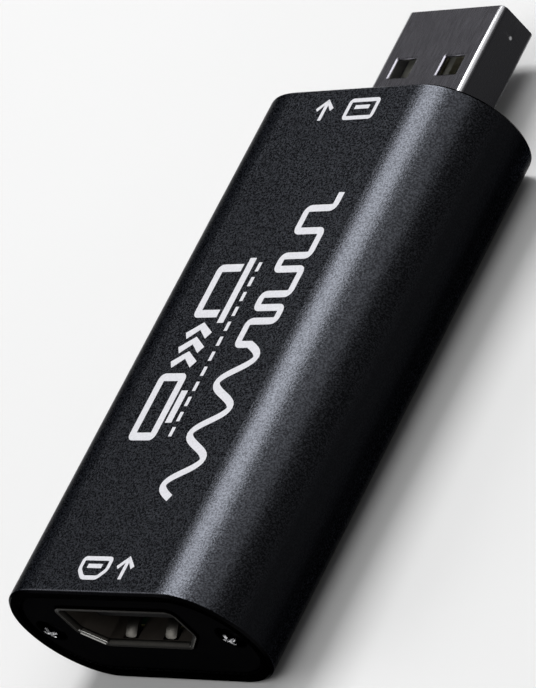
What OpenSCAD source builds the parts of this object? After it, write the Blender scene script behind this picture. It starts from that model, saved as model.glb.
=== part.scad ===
// Video capture box: a pocket-sized stick with a video socket at one end and a flat plug at the other.
// An extruded aluminium sleeve holds a circuit board in its guides, and a screwed plate closes each end.
// Millimetres, +Z up, +Y from the socket end to the plug end.
// The origin is under the middle of the whole length, on the flat that the box lies on.

/* [Sleeve] */
// Outside width of the extruded sleeve
body_width = 28.4; // [27:0.1:34]
// Outside height of the extruded sleeve
body_height = 13; // [12.9:0.1:16]
// Length of the sleeve
body_length = 52.5; // [50:0.5:70]
// Radius along the sleeve's four long edges
edge_radius = 6.4; // [5:0.1:6.4]
// Thickness of the extruded wall
wall = 1; // [0.8:0.05:1.3]
// Chamfer round each sawn end of the sleeve
rim_chamfer = 0.25; // [0.1:0.05:0.4]

/* [Screw channels and board guides] */
// Distance from the inside of the side wall to the axis of a screw channel
channel_inset = 2; // [1.8:0.05:2.6]
// Wall round the bore of a screw channel
channel_wall = 0.75; // [0.5:0.05:1]
// Width of the slit along a screw channel
channel_slit = 0.6; // [0.3:0.05:0.9]
// Height of the rib that carries each edge of the board
rib_height = 0.9; // [0.5:0.1:1.2]
// How far a rib reaches under the board
rib_grip = 1; // [0.6:0.1:1.6]

/* [End plates] */
// Thickness of an end plate
plate_thickness = 1.8; // [1.4:0.1:2.4]
// How far an end plate sits inside the rim of the sleeve
plate_recess = 0.3; // [0.1:0.05:0.6]
// Clearance all round an end plate in the sleeve
plate_gap = 0.1; // [0.05:0.01:0.2]
// Clearance round a connector in the window of its plate
window_gap = 0.15; // [0.1:0.05:0.4]
// Chamfer round the outer face of an end plate
plate_chamfer = 0.2; // [0.1:0.05:0.4]

/* [Plate screws] */
// Radius of a screw's shank
screw_radius = 0.85; // [0.7:0.05:1]
// Length of a screw under its head
screw_length = 5.5; // [4:0.5:8]
// Radius of a screw's head
head_radius = 1.4; // [1.2:0.05:1.5]
// Height of a screw's head
head_height = 0.9; // [0.7:0.05:1.1]
// Height of the crown on a screw's head
head_crown = 0.35; // [0.15:0.05:0.5]
// Depth of the sunk seat for a screw's head
seat_depth = 0.6; // [0.6:0.05:0.9]
// Clearance round a screw's head in its seat
head_gap = 0.1; // [0.05:0.01:0.2]
// Clearance round a screw's shank in a bore
screw_gap = 0.05; // [0.02:0.01:0.1]
// Length of one bar of the cross recess
cross_span = 1.7; // [1.2:0.1:2]
// Width of one bar of the cross recess
cross_width = 0.4; // [0.25:0.05:0.6]
// Depth of the cross recess
cross_depth = 0.5; // [0.3:0.05:0.6]

/* [Circuit board] */
// Thickness of the circuit board
board_thickness = 1.2; // [0.8:0.1:1.6]
// Clearance over and under the edge of the board in its guides
board_gap = 0.1; // [0.05:0.01:0.2]
// Clearance between each side of the board and the sleeve
board_side_gap = 0.3; // [0.1:0.05:0.6]
// Clearance between each end of the board and its plate
board_end_gap = 0.3; // [0.1:0.05:0.8]
// Clearance round a leg or a plug in its cut in the board
cut_gap = 0.15; // [0.1:0.05:0.3]

/* [Input socket] */
// Inside width of the socket's mouth
socket_width = 14; // [13:0.1:15]
// Inside height of the socket's mouth
socket_height = 4.55; // [4.2:0.05:5]
// Height of the socket's upright sides, down from the inside of its roof
socket_side = 2.7; // [2.2:0.1:3.2]
// Inside width of the socket's floor
socket_floor = 9.9; // [9:0.1:11]
// Inside radius of the socket's corners
socket_corner = 0.35; // [0.2:0.05:0.6]
// Length of the socket's shell
socket_depth = 11; // [10.5:0.25:13]
// Thickness of the socket's sheet metal
socket_sheet = 0.3; // [0.2:0.05:0.4]
// How far the socket's mouth sits inside the rim of the sleeve
socket_setback = 0.1; // [0:0.05:0.3]
// Height of the socket's shell above the board
socket_standoff = 0.25; // [0.1:0.05:0.5]
// How far the lip of the mouth flares out
lip_flare = 0.22; // [0.1:0.02:0.4]
// Length of the flared lip
lip_depth = 0.5; // [0.3:0.05:0.8]

/* [Socket springs and legs] */
// Width of a spring finger
finger_width = 1.4; // [1:0.1:2]
// Length of a spring finger
finger_length = 3.6; // [2.8:0.1:4.4]
// How far a spring finger bows into the mouth
finger_bow = 0.6; // [0.3:0.05:0.65]
// Distance between the two fingers on one wall
finger_spacing = 5; // [4:0.1:6]
// Distance from the mouth to the fingers
finger_setback = 0.8; // [0.8:0.1:2]
// Clearance round a spring finger in its slot
finger_gap = 0.25; // [0.15:0.05:0.4]
// Length of a solder leg along the shell
leg_length = 1.2; // [0.8:0.1:1.6]
// How far a solder leg stands out under the board
leg_stick = 0.4; // [0.2:0.1:0.8]
// Distance from the mouth to the middle of the front legs
front_leg_setback = 3.6; // [3.2:0.1:4.4]
// Distance from the mouth to the middle of the rear legs
rear_leg_setback = 8.8; // [8:0.1:9.6]

/* [Socket insert] */
// Width of the socket's tongue
tongue_width = 11; // [10.4:0.1:11.8]
// Thickness of the socket's tongue
tongue_thickness = 1.5; // [1.2:0.05:1.7]
// Height of the tongue above the middle of the mouth
tongue_rise = 0.2; // [0:0.05:0.4]
// Distance from the mouth to the tip of the tongue
tongue_setback = 1.6; // [1:0.1:2.4]
// Length of the insert's block at the back of the shell
block_length = 3.2; // [2.6:0.1:3.4]
// Clearance round a moulded insert in its shell
insert_gap = 0.05; // [0.02:0.01:0.1]
// Number of contacts above the tongue
upper_count = 10; // [6:1:10]
// Distance between neighbouring contacts of one row
contact_pitch = 1; // [0.9:0.05:1.05]
// Width of a socket contact
contact_width = 0.35; // [0.25:0.05:0.4]
// Thickness of a socket contact
contact_thickness = 0.2; // [0.15:0.01:0.25]
// How far a socket contact stands out of its groove
contact_proud = 0.05; // [0.02:0.01:0.1]
// Distance from the tip of the tongue to its contacts
contact_setback = 0.4; // [0.2:0.1:0.8]
// Length of a socket contact's foot on the board
foot_length = 1; // [0.6:0.1:1.4]

/* [Output plug] */
// Outside width of the plug's shell
plug_width = 12; // [11:0.1:13]
// Outside height of the plug's shell
plug_height = 4.5; // [4.2:0.05:5]
// How far the plug stands out of the sleeve
plug_reach = 13; // [11.5:0.1:14]
// Whole length of the plug's shell
plug_length = 18.75; // [18:0.05:20]
// Thickness of the plug's sheet metal
plug_sheet = 0.3; // [0.2:0.05:0.4]
// Outside radius of the plug's long edges
plug_corner = 0.6; // [0.45:0.05:0.9]
// Chamfer round the tip of the plug's shell
tip_chamfer = 0.15; // [0.05:0.05:0.2]
// Width of a latch window
latch_width = 2.3; // [2:0.1:3]
// Length of a latch window
latch_length = 2; // [1.6:0.1:2.6]
// Distance from the tip of the plug to its latch windows
latch_setback = 5.4; // [4.6:0.1:5.8]
// Distance between the two latch windows of one face
latch_spacing = 6; // [5.6:0.1:6.6]
// Radius of the dimple in each side of the shell
dimple_radius = 0.3; // [0.2:0.05:0.5]
// Distance from the tip of the plug to its side dimples
dimple_setback = 1.95; // [1.5:0.05:3]
// Depth of a side dimple
dimple_depth = 0.06; // [0.05:0.01:0.15]
// Width of the seam under the plug's shell
seam_width = 0.12; // [0.08:0.02:0.2]
// Depth of the seam under the plug's shell
seam_depth = 0.12; // [0.05:0.01:0.15]
// Width of a solder wing beside the plug
wing_width = 1.8; // [1.2:0.1:2.4]
// Length of a solder wing beside the plug
wing_length = 2; // [1.4:0.1:2.4]
// Distance from the back of the plug's shell to its solder wings
wing_setback = 0.6; // [0.4:0.1:1]

/* [Plug insert] */
// Thickness of the plug's tongue
plug_tongue_thickness = 1.85; // [1.6:0.05:2]
// Distance from the tip of the shell to the tip of the tongue
plug_tongue_setback = 0.4; // [0.2:0.1:0.8]
// Length of the insert's block at the back of the plug
plug_block_length = 8.4; // [7.6:0.1:9.2]
// Width of a plug contact
plug_contact_width = 1; // [0.8:0.1:1.2]
// Thickness of a plug contact
plug_contact_thickness = 0.3; // [0.2:0.05:0.4]
// Depth of the groove under a plug contact
plug_groove = 0.15; // [0.05:0.05:0.15]
// Half the distance between the two inner plug contacts
inner_contact_x = 1; // [0.8:0.05:1.2]
// Half the distance between the two outer plug contacts
outer_contact_x = 3.5; // [3.2:0.05:4]
// Distance from the plug's tip to the two outer contacts
outer_contact_setback = 1.4; // [1.2:0.1:1.8]
// Distance from the plug's tip to the two inner contacts
inner_contact_setback = 2.4; // [2:0.1:3]
// Drop from a plug contact to its tail on the board
tail_drop = 0.1; // [0.05:0.05:0.4]
// Length of a plug contact's tail on the board
tail_length = 2; // [1.4:0.1:2.6]

/* [Chips] */
// Width of the square capture chip
chip_width = 7; // [6:0.1:8]
// Height of the capture chip
chip_height = 1.4; // [1:0.1:1.6]
// Number of leads on each side of the capture chip
chip_side_leads = 12; // [8:1:12]
// Distance between neighbouring leads of the capture chip
chip_pitch = 0.5; // [0.45:0.01:0.55]
// Width of a lead of the capture chip
chip_lead_width = 0.22; // [0.15:0.01:0.28]
// How far a lead reaches out of the capture chip
chip_lead_reach = 1; // [0.8:0.05:1.2]
// Radius of the dot that marks the capture chip's first lead
chip_dot_radius = 0.5; // [0.3:0.05:0.7]
// Distance from two edges of the capture chip to its dot
chip_dot_inset = 1.3; // [0.9:0.1:2]
// Depth of the dot
chip_dot_depth = 0.08; // [0.04:0.01:0.2]
// Length of the memory chip
memory_length = 4.9; // [4:0.1:5.4]
// Width of the memory chip
memory_width = 3.9; // [3.4:0.1:4.4]
// Height of the memory chip
memory_height = 1.5; // [1.2:0.1:1.75]
// Distance between neighbouring leads of the memory chip
memory_pitch = 1.27; // [1.1:0.01:1.27]
// Width of a lead of the memory chip
memory_lead_width = 0.42; // [0.3:0.02:0.5]
// How far a lead reaches out of the memory chip
memory_lead_reach = 1.05; // [0.8:0.05:1.3]
// Length of a regulator
regulator_length = 2.9; // [2.6:0.1:3.2]
// Width of a regulator
regulator_width = 1.3; // [1.2:0.1:1.6]
// Height of a regulator
regulator_height = 1.1; // [0.9:0.05:1.3]
// Distance between the two leads on one side of a regulator
regulator_pitch = 1.9; // [1.7:0.05:2]
// Width of a lead of a regulator
regulator_lead_width = 0.4; // [0.3:0.05:0.5]
// How far a lead reaches out of a regulator
regulator_lead_reach = 0.55; // [0.5:0.05:0.7]
// Thickness of every chip's leads
lead_thickness = 0.15; // [0.1:0.01:0.2]
// Length of the foot of every chip's leads
lead_foot = 0.35; // [0.25:0.05:0.4]
// Height of every chip above the board
chip_standoff = 0.1; // [0.05:0.01:0.15]

/* [Crystal, capacitors and resistors] */
// Length of the crystal
crystal_length = 3.2; // [2.5:0.1:4]
// Width of the crystal
crystal_width = 2.5; // [2:0.1:2.8]
// Height of the crystal's ceramic base
crystal_base_height = 0.5; // [0.3:0.05:0.7]
// Height of the crystal's metal lid
crystal_lid_height = 0.3; // [0.2:0.05:0.4]
// Width of the ledge round the crystal's lid
crystal_ledge = 0.2; // [0.1:0.05:0.3]
// Corner radius of the crystal's lid
crystal_corner = 0.3; // [0.2:0.05:0.5]
// Length of a capacitor
capacitor_length = 1.6; // [1.2:0.1:1.8]
// Width of a capacitor
capacitor_width = 0.8; // [0.6:0.05:0.9]
// Height of a capacitor
capacitor_height = 0.8; // [0.5:0.05:0.9]
// Length of each metal end of a capacitor
capacitor_end = 0.35; // [0.2:0.05:0.45]
// Number of capacitors in each row beside the capture chip
capacitor_count = 5; // [3:1:6]
// Length of a resistor
resistor_length = 1; // [0.8:0.05:1.2]
// Width of a resistor
resistor_width = 0.5; // [0.4:0.05:0.6]
// Height of a resistor
resistor_height = 0.35; // [0.25:0.05:0.45]
// Length of each metal end of a resistor
resistor_end = 0.25; // [0.15:0.05:0.3]
// Number of resistors in the row behind the socket
resistor_count = 8; // [4:1:9]
// Free space between neighbouring parts on the board
part_gap = 0.8; // [0.5:0.1:1]

/* [Hidden] */

$fn = 64;
cut = 1;                 // how far a cutting shape runs past the face that it cuts
corner_steps = 6;        // steps round each corner of the socket's mouth
slice = 0.01;            // thickness of a slice that a flare is stretched over
flare_overlap = 1.5;     // length of a stretched flare, as a multiple of the lip that shows of it
edge_break = 0.02;       // chamfer on an edge that is left sharp

anodised = [0.11, 0.11, 0.13];
black_plastic = [0.05, 0.05, 0.06];
pale_plastic = [0.80, 0.80, 0.76];
plated_steel = [0.72, 0.72, 0.74];
dark_screw = [0.30, 0.30, 0.32];
gold = [0.83, 0.66, 0.30];
board_green = [0.05, 0.28, 0.16];
chip_black = [0.08, 0.08, 0.09];
tin = [0.78, 0.78, 0.80];
ceramic = [0.70, 0.66, 0.58];
capacitor_tan = [0.62, 0.48, 0.34];

// Places along the length
total_length = body_length + plug_reach;
near_y = -total_length / 2;
far_y = near_y + body_length;
tip_y = far_y + plug_reach;
near_plate_y = near_y + plate_recess;
far_plate_y = far_y - plate_recess;
inside_near_y = near_plate_y + plate_thickness;
inside_far_y = far_plate_y - plate_thickness;
mid_z = body_height / 2;

// Inside of the sleeve
inner_width = body_width - 2 * wall;
inner_height = body_height - 2 * wall;
inner_radius = edge_radius - wall;
inner_flat = inner_height / 2 - inner_radius;

// Half the clear width of the sleeve at a height below its middle
function inner_reach(drop) =
    inner_width / 2 - inner_radius + sqrt(pow(inner_radius, 2) - pow(max(0, drop - inner_flat), 2));

// Screw channels
bore_radius = screw_radius + screw_gap;
channel_radius = bore_radius + channel_wall;
channel_x = inner_width / 2 - channel_inset;
seat_radius = head_radius + head_gap;

// Circuit board
board_top = mid_z - channel_radius - board_gap;
board_bottom = board_top - board_thickness;
board_half = inner_reach(mid_z - board_bottom) - board_side_gap;
board_near_y = inside_near_y + board_end_gap;
board_far_y = inside_far_y - board_end_gap;
rib_top = board_bottom - board_gap;

// Input socket
mouth_y = near_y + socket_setback;
socket_back_y = mouth_y + socket_depth;
socket_mid_z = board_top + socket_standoff + socket_sheet + socket_height / 2;
side_wall_x = socket_width / 2 + socket_sheet / 2;
tongue_z = socket_mid_z + tongue_rise;
lower_count = upper_count - 1;
contact_groove = contact_thickness - contact_proud;
contact_y = mouth_y + tongue_setback + contact_setback;
foot_end_y = socket_back_y + contact_thickness + foot_length;

// Output plug
plug_back_y = tip_y - plug_length;
plug_contact_bottom = board_top + tail_drop;
plug_tongue_top = plug_contact_bottom + plug_groove;
plug_floor = plug_tongue_top - plug_tongue_thickness - insert_gap;
plug_z = plug_floor - plug_sheet + plug_height / 2;
plug_inner_width = plug_width - 2 * plug_sheet;
plug_inner_height = plug_height - 2 * plug_sheet;
plug_inner_corner = plug_corner - plug_sheet;
tail_end_y = plug_back_y - tail_length;

// Places of the parts on the board
resistor_y = foot_end_y + part_gap + resistor_length / 2;
resistor_step = resistor_width + part_gap;
chip_span = chip_width + 2 * chip_lead_reach;
chip_y = resistor_y + resistor_length / 2 + part_gap + chip_span / 2;
memory_span = memory_width + 2 * memory_lead_reach;
memory_side_leads = 4;
pair_leads = 2;
single_lead = 1;
memory_x = part_gap / 2 + memory_span / 2;
memory_y = chip_y + chip_span / 2 + part_gap + memory_length / 2;
regulator_span = regulator_width + 2 * regulator_lead_reach;
regulator_x = regulator_span + part_gap;
regulator_y = tail_end_y - part_gap - regulator_length / 2;
crystal_x = -part_gap / 2 - crystal_width / 2;
crystal_y = chip_y + chip_span / 2 + part_gap + crystal_length / 2;
capacitor_x = chip_span / 2 + part_gap + capacitor_length / 2;
capacitor_step = capacitor_width + part_gap;

// Rectangle with rounded corners, centred
module round_box(width, height, radius) {
    square([width - 2 * radius, height], center = true);
    square([width, height - 2 * radius], center = true);
    for (side = [-1, 1], level = [-1, 1])
        translate([side * (width / 2 - radius), level * (height / 2 - radius)]) circle(radius);
}

// Direction that the outer side of an edge faces, on an outline in anticlockwise order
function facing(from, to) = atan2(from[0] - to[0], to[1] - from[1]);

// Outline with rounded corners, from the centres of its corner circles in anticlockwise order
function rounded_points(centres, radius) = [
    for (i = [0 : len(centres) - 1])
        let (
            count = len(centres),
            here = centres[i],
            start = facing(centres[(i + count - 1) % count], here),
            turn = (facing(here, centres[(i + 1) % count]) - start + 360) % 360
        )
        for (step = [0 : corner_steps])
            let (angle = start + turn * step / corner_steps)
                here + radius * [cos(angle), sin(angle)]
];

// Flat outline in X and Z, stretched along Y from one place to another
module along_y(start, end) {
    translate([0, end, 0]) rotate([90, 0, 0]) linear_extrude(end - start) children();
}

// Side outline in Y and Z, stretched along X and centred there
module across_x(width) {
    translate([-width / 2, 0, 0]) rotate([90, 0, 90]) linear_extrude(width) children();
}

// Cylinder along Y from one place to another
module rod_y(radius, start, end) {
    translate([0, start, 0]) rotate([-90, 0, 0]) cylinder(r = radius, h = end - start);
}

// Bar along Y with rounded long edges and a chamfer round each end
module chamfered_bar(width, height, radius, start, end, start_chamfer, end_chamfer) {
    near = start + start_chamfer;
    far = end - end_chamfer;
    for (side = [-1, 1], level = [-1, 1])
        translate([side * (width / 2 - radius), 0, level * (height / 2 - radius)]) rotate([-90, 0, 0]) {
            translate([0, 0, start]) cylinder(r1 = radius - start_chamfer, r2 = radius, h = start_chamfer);
            translate([0, 0, near]) cylinder(r = radius, h = far - near);
            translate([0, 0, far]) cylinder(r1 = radius, r2 = radius - end_chamfer, h = end_chamfer);
        }
    across_x(width - 2 * radius) chamfered_side(height, start, end, start_chamfer, end_chamfer);
    translate([0, 0, -height / 2 + radius]) linear_extrude(height - 2 * radius)
        rotate(90) mirror([0, 1]) chamfered_side(width, start, end, start_chamfer, end_chamfer);
}

// Side outline of a chamfered bar: its length runs along the first axis
module chamfered_side(height, start, end, start_chamfer, end_chamfer) {
    half = height / 2;
    near = start + start_chamfer;
    far = end - end_chamfer;
    polygon([
        [start, -half + start_chamfer], [near, -half], [far, -half], [end, -half + end_chamfer],
        [end, half - end_chamfer], [far, half], [near, half], [start, half - start_chamfer]
    ]);
}

// Sleeve: a tube with a screw channel in each side and a rib under each edge of the board
module sleeve() {
    color(anodised) difference() {
        union() {
            translate([0, 0, mid_z]) difference() {
                chamfered_bar(body_width, body_height, edge_radius, near_y, far_y, rim_chamfer, rim_chamfer);
                along_y(near_y - cut, far_y + cut) round_box(inner_width, inner_height, inner_radius);
            }
            along_y(inside_near_y, inside_far_y) inner_features();
        }
        for (side = [-1, 1]) {
            translate([side * channel_x, 0, mid_z])
                rod_y(bore_radius, inside_near_y - cut, inside_far_y + cut);
            translate([side * (channel_x - channel_radius / 2), 0, mid_z])
                cube([channel_radius, body_length, channel_slit], center = true);
        }
    }
}

// Screw channels and ribs, held inside the middle of the sleeve's wall
module inner_features() {
    web = channel_inset + wall;
    rib_start = board_half - rib_grip;
    intersection() {
        translate([0, mid_z]) round_box(body_width - wall, body_height - wall, edge_radius - wall / 2);
        for (side = [-1, 1]) {
            translate([side * channel_x, mid_z]) circle(channel_radius);
            translate([side * (channel_x + web / 2), mid_z])
                square([web, 2 * channel_radius], center = true);
            translate([side * (rib_start + body_width / 4), rib_top - rib_height / 2])
                square([body_width / 2, rib_height], center = true);
        }
    }
}

// Plate that closes one end, before its window is cut: its outer face is at the first place
module blank_plate(outer_y, inner_y) {
    width = inner_width - 2 * plate_gap;
    height = inner_height - 2 * plate_gap;
    radius = inner_radius - plate_gap;
    out = sign(outer_y - inner_y);
    difference() {
        translate([0, 0, mid_z])
            if (out < 0) chamfered_bar(width, height, radius, outer_y, inner_y, plate_chamfer, edge_break);
            else chamfered_bar(width, height, radius, inner_y, outer_y, edge_break, plate_chamfer);
        for (side = [-1, 1]) translate([side * channel_x, 0, mid_z]) {
            rod_y(bore_radius, min(outer_y, inner_y) - cut, max(outer_y, inner_y) + cut);
            seat_floor = outer_y - out * seat_depth;
            rod_y(seat_radius, min(seat_floor, outer_y + out * cut), max(seat_floor, outer_y + out * cut));
        }
    }
}

module input_end_plate() {
    color(black_plastic) difference() {
        blank_plate(near_plate_y, inside_near_y);
        along_y(near_plate_y - cut, inside_near_y + cut)
            translate([0, socket_mid_z]) mouth_outline(socket_sheet + lip_flare + window_gap);
    }
}

module output_end_plate() {
    color(black_plastic) difference() {
        blank_plate(far_plate_y, inside_far_y);
        along_y(inside_far_y - cut, far_plate_y + cut) translate([0, plug_z])
            round_box(plug_width + 2 * window_gap, plug_height + 2 * window_gap, plug_corner + window_gap);
    }
}

// Cross-head screw along Y, with its head towards +Y and the seat of the head at y = 0
module plate_screw() {
    crown_radius = (pow(head_radius, 2) + pow(head_crown, 2)) / (2 * head_crown);
    difference() {
        union() {
            intersection() {
                rod_y(head_radius, 0, head_height);
                translate([0, head_height - crown_radius, 0]) sphere(crown_radius, $fn = 96);
            }
            rod_y(screw_radius, -screw_length + screw_radius, 0);
            translate([0, -screw_length + screw_radius, 0]) rotate([90, 0, 0])
                cylinder(r1 = screw_radius, r2 = screw_radius / 4, h = screw_radius);
        }
        for (turn = [0, 90]) rotate([0, turn, 0])
            translate([-cross_span / 2, head_height - cross_depth, -cross_width / 2])
                cube([cross_span, cross_depth + cut, cross_width]);
    }
}

module screw_pair() {
    for (side = [-1, 1]) translate([side * channel_x, 0, mid_z]) plate_screw();
}

module input_plate_screws() {
    color(dark_screw) translate([0, near_plate_y + seat_depth, 0]) mirror([0, 1, 0]) screw_pair();
}

module output_plate_screws() {
    color(dark_screw) translate([0, far_plate_y - seat_depth, 0]) screw_pair();
}

// Board with a notch for the plug and a slot for each leg of the socket
module circuit_board() {
    notch_half = plug_width / 2 + cut_gap;
    notch_y = plug_back_y - cut_gap;
    color(board_green) translate([0, 0, board_bottom]) linear_extrude(board_thickness) difference() {
        translate([-board_half, board_near_y]) square([2 * board_half, board_far_y - board_near_y]);
        translate([-notch_half, notch_y]) square([2 * notch_half, board_far_y - notch_y + cut]);
        for (side = [-1, 1], setback = [front_leg_setback, rear_leg_setback])
            translate([side * side_wall_x, mouth_y + setback])
                square([socket_sheet + 2 * cut_gap, leg_length + 2 * cut_gap], center = true);
    }
}

// Outline of the socket's mouth, grown outwards: a flat roof, upright sides and a narrower floor
module mouth_outline(grow) {
    half = socket_width / 2 - socket_corner;
    roof = socket_height / 2 - socket_corner;
    shoulder = socket_height / 2 - socket_side;
    polygon(rounded_points([
        [half, roof], [-half, roof], [-half, shoulder],
        [-socket_floor / 2, -roof], [socket_floor / 2, -roof], [half, shoulder]
    ], socket_corner + grow));
}

// Flared lip of the mouth, stretched from its wide outline to one that has sunk into the shell's wall
module lip_solid(grow) {
    flare_end = mouth_y + flare_overlap * lip_depth;
    hull() {
        along_y(mouth_y, mouth_y + slice) mouth_outline(grow + lip_flare);
        along_y(flare_end - slice, flare_end) mouth_outline(grow + lip_flare * (1 - flare_overlap));
    }
}

// Spring finger seen from the side: an arc from wall level, up into the mouth and back
module finger_arc() {
    half = finger_length / 2;
    bend = (half * half + finger_bow * finger_bow) / (2 * finger_bow);
    intersection() {
        translate([half, finger_bow - bend]) difference() {
            circle(bend);
            circle(bend - socket_sheet);
        }
        translate([0, -socket_sheet]) square([finger_length, finger_bow + socket_sheet]);
    }
}

// One pair of spring fingers on the floor of the socket, whose inside is at z = 0
module floor_fingers() {
    for (side = [-1, 1]) translate([side * finger_spacing / 2, mouth_y + finger_setback, 0])
        across_x(finger_width) finger_arc();
}

// Slots round a pair of spring fingers, open at the front and the sides of each finger
module floor_slots() {
    slot_width = finger_width + 2 * finger_gap;
    for (side = [-1, 1])
        translate([side * finger_spacing / 2 - slot_width / 2, mouth_y + finger_setback - finger_gap, -cut])
            cube([slot_width, finger_length + finger_gap - socket_sheet, 2 * cut]);
}

// Socket's shell: folded from sheet metal, with a flared lip, four spring fingers and four solder legs
module input_socket_shell() {
    leg_top = socket_mid_z + socket_height / 2 - socket_side;
    leg_bottom = board_bottom - leg_stick;
    color(plated_steel) {
        translate([0, 0, socket_mid_z]) difference() {
            union() {
                along_y(mouth_y + lip_depth / 2, socket_back_y) mouth_outline(socket_sheet);
                lip_solid(socket_sheet);
            }
            along_y(mouth_y - cut, socket_back_y + cut) mouth_outline(0);
            lip_solid(0);
            for (level = [-1, 1]) translate([0, 0, level * socket_height / 2]) floor_slots();
        }
        translate([0, 0, socket_mid_z - socket_height / 2]) floor_fingers();
        translate([0, 0, socket_mid_z + socket_height / 2]) mirror([0, 0, 1]) floor_fingers();
        for (side = [-1, 1], setback = [front_leg_setback, rear_leg_setback])
            translate([side * side_wall_x, mouth_y + setback, (leg_top + leg_bottom) / 2])
                cube([socket_sheet, leg_length, leg_top - leg_bottom], center = true);
    }
}

// Side outline of a socket contact: a blade on the tongue, a drop behind the block and a foot on the board
module contact_side(blade_bottom) {
    blade_top = blade_bottom + contact_thickness;
    drop_y = socket_back_y + contact_thickness;
    polygon([
        [contact_y, blade_bottom], [contact_y, blade_top], [drop_y, blade_top],
        [drop_y, board_top + contact_thickness], [foot_end_y, board_top + contact_thickness],
        [foot_end_y, board_top], [socket_back_y, board_top], [socket_back_y, blade_bottom]
    ]);
}

// Row of socket contacts, centred on the middle of the tongue
module contact_row(count, blade_bottom) {
    for (i = [0 : count - 1])
        translate([(i - (count - 1) / 2) * contact_pitch, 0, 0])
            across_x(contact_width) contact_side(blade_bottom);
}

upper_blade = tongue_z + tongue_thickness / 2 - contact_groove;
lower_blade = tongue_z - tongue_thickness / 2 - contact_proud;

module input_socket_upper_contacts() {
    color(gold) contact_row(upper_count, upper_blade);
}

module input_socket_lower_contacts() {
    color(gold) contact_row(lower_count, lower_blade);
}

// Socket's moulded insert: a block in the back of the shell and a tongue with a groove for each contact
module input_socket_insert() {
    tongue_y = mouth_y + tongue_setback;
    block_y = socket_back_y - block_length;
    color(black_plastic) difference() {
        union() {
            along_y(block_y, socket_back_y) translate([0, socket_mid_z]) mouth_outline(-insert_gap);
            translate([-tongue_width / 2, tongue_y, tongue_z - tongue_thickness / 2])
                cube([tongue_width, block_y - tongue_y + cut, tongue_thickness]);
        }
        contact_row(upper_count, upper_blade);
        contact_row(lower_count, lower_blade);
    }
}

// Plug's shell: a folded tube with latch windows above and below, side dimples and two solder wings
module output_plug_shell() {
    color(plated_steel) {
        translate([0, 0, plug_z]) difference() {
            chamfered_bar(plug_width, plug_height, plug_corner, plug_back_y, tip_y, edge_break, tip_chamfer);
            along_y(plug_back_y - cut, tip_y + cut)
                round_box(plug_inner_width, plug_inner_height, plug_inner_corner);
            for (side = [-1, 1]) {
                translate([side * latch_spacing / 2, tip_y - latch_setback - latch_length / 2, 0])
                    cube([latch_width, latch_length, 2 * plug_height], center = true);
                translate([side * (plug_width / 2 - dimple_depth), tip_y - dimple_setback, 0])
                    rotate([0, side * 90, 0])
                        cylinder(r1 = dimple_radius / 2, r2 = dimple_radius, h = dimple_depth);
            }
            translate([-seam_width / 2, plug_back_y - cut, -plug_height / 2 - cut])
                cube([seam_width, plug_length + 2 * cut, seam_depth + cut]);
        }
        wing_x = (plug_width + wing_width - plug_sheet) / 2;
        wing_y = plug_back_y + wing_setback + wing_length / 2;
        for (side = [-1, 1]) translate([side * wing_x, wing_y, board_top + plug_sheet / 2])
            cube([wing_width + plug_sheet, wing_length, plug_sheet], center = true);
    }
}

// Side outline of a plug contact: a blade on the tongue and a tail that steps down to the board
module plug_contact_side(setback) {
    blade_top = plug_contact_bottom + plug_contact_thickness;
    tail_top = board_top + plug_contact_thickness;
    step_y = plug_back_y - plug_contact_thickness;
    polygon([
        [tip_y - setback, plug_contact_bottom], [tip_y - setback, blade_top], [step_y, blade_top],
        [step_y - tail_drop, tail_top], [tail_end_y, tail_top],
        [tail_end_y, board_top], [step_y, board_top], [plug_back_y, plug_contact_bottom]
    ]);
}

module plug_contact_row() {
    for (side = [-1, 1]) {
        translate([side * inner_contact_x, 0, 0])
            across_x(plug_contact_width) plug_contact_side(inner_contact_setback);
        translate([side * outer_contact_x, 0, 0])
            across_x(plug_contact_width) plug_contact_side(outer_contact_setback);
    }
}

module output_plug_contacts() {
    color(gold) plug_contact_row();
}

// Plug's moulded insert: a block in the back of the shell and a tongue along its floor
module output_plug_insert() {
    width = plug_inner_width - 2 * insert_gap;
    height = plug_inner_height - 2 * insert_gap;
    tongue_end_y = tip_y - plug_tongue_setback;
    color(pale_plastic) difference() {
        translate([0, 0, plug_z]) intersection() {
            along_y(plug_back_y, tongue_end_y) round_box(width, height, plug_inner_corner);
            translate([-width, plug_back_y - cut, 0]) {
                translate([0, 0, -height]) cube([2 * width, plug_block_length + cut, 2 * height]);
                translate([0, 0, plug_tongue_top - plug_z - 2 * height])
                    cube([2 * width, plug_length, 2 * height]);
            }
        }
        plug_contact_row();
    }
}

// Bent lead of a chip: it leaves the body at x = 0, drops and ends in a foot at z = 0
module bent_lead(reach, exit_height, width) {
    knee = (reach - lead_foot) / 2;
    translate([0, width / 2, 0]) rotate([90, 0, 0]) linear_extrude(width) polygon([
        [0, exit_height], [0, exit_height + lead_thickness], [knee, exit_height + lead_thickness],
        [reach - lead_foot + lead_thickness, lead_thickness], [reach, lead_thickness], [reach, 0],
        [reach - lead_foot, 0], [knee - lead_thickness / 2, exit_height]
    ]);
}

// Row of leads out of the +X side of a chip, centred on its middle
module lead_row(count, pitch, half_width, reach, exit_height, width) {
    for (i = [0 : count - 1])
        translate([half_width, (i - (count - 1) / 2) * pitch, 0]) bent_lead(reach, exit_height, width);
}

// Moulded body of a chip, standing clear of the board
module chip_body(length_x, length_y, height) {
    translate([-length_x / 2, -length_y / 2, chip_standoff]) cube([length_x, length_y, height]);
}

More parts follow.
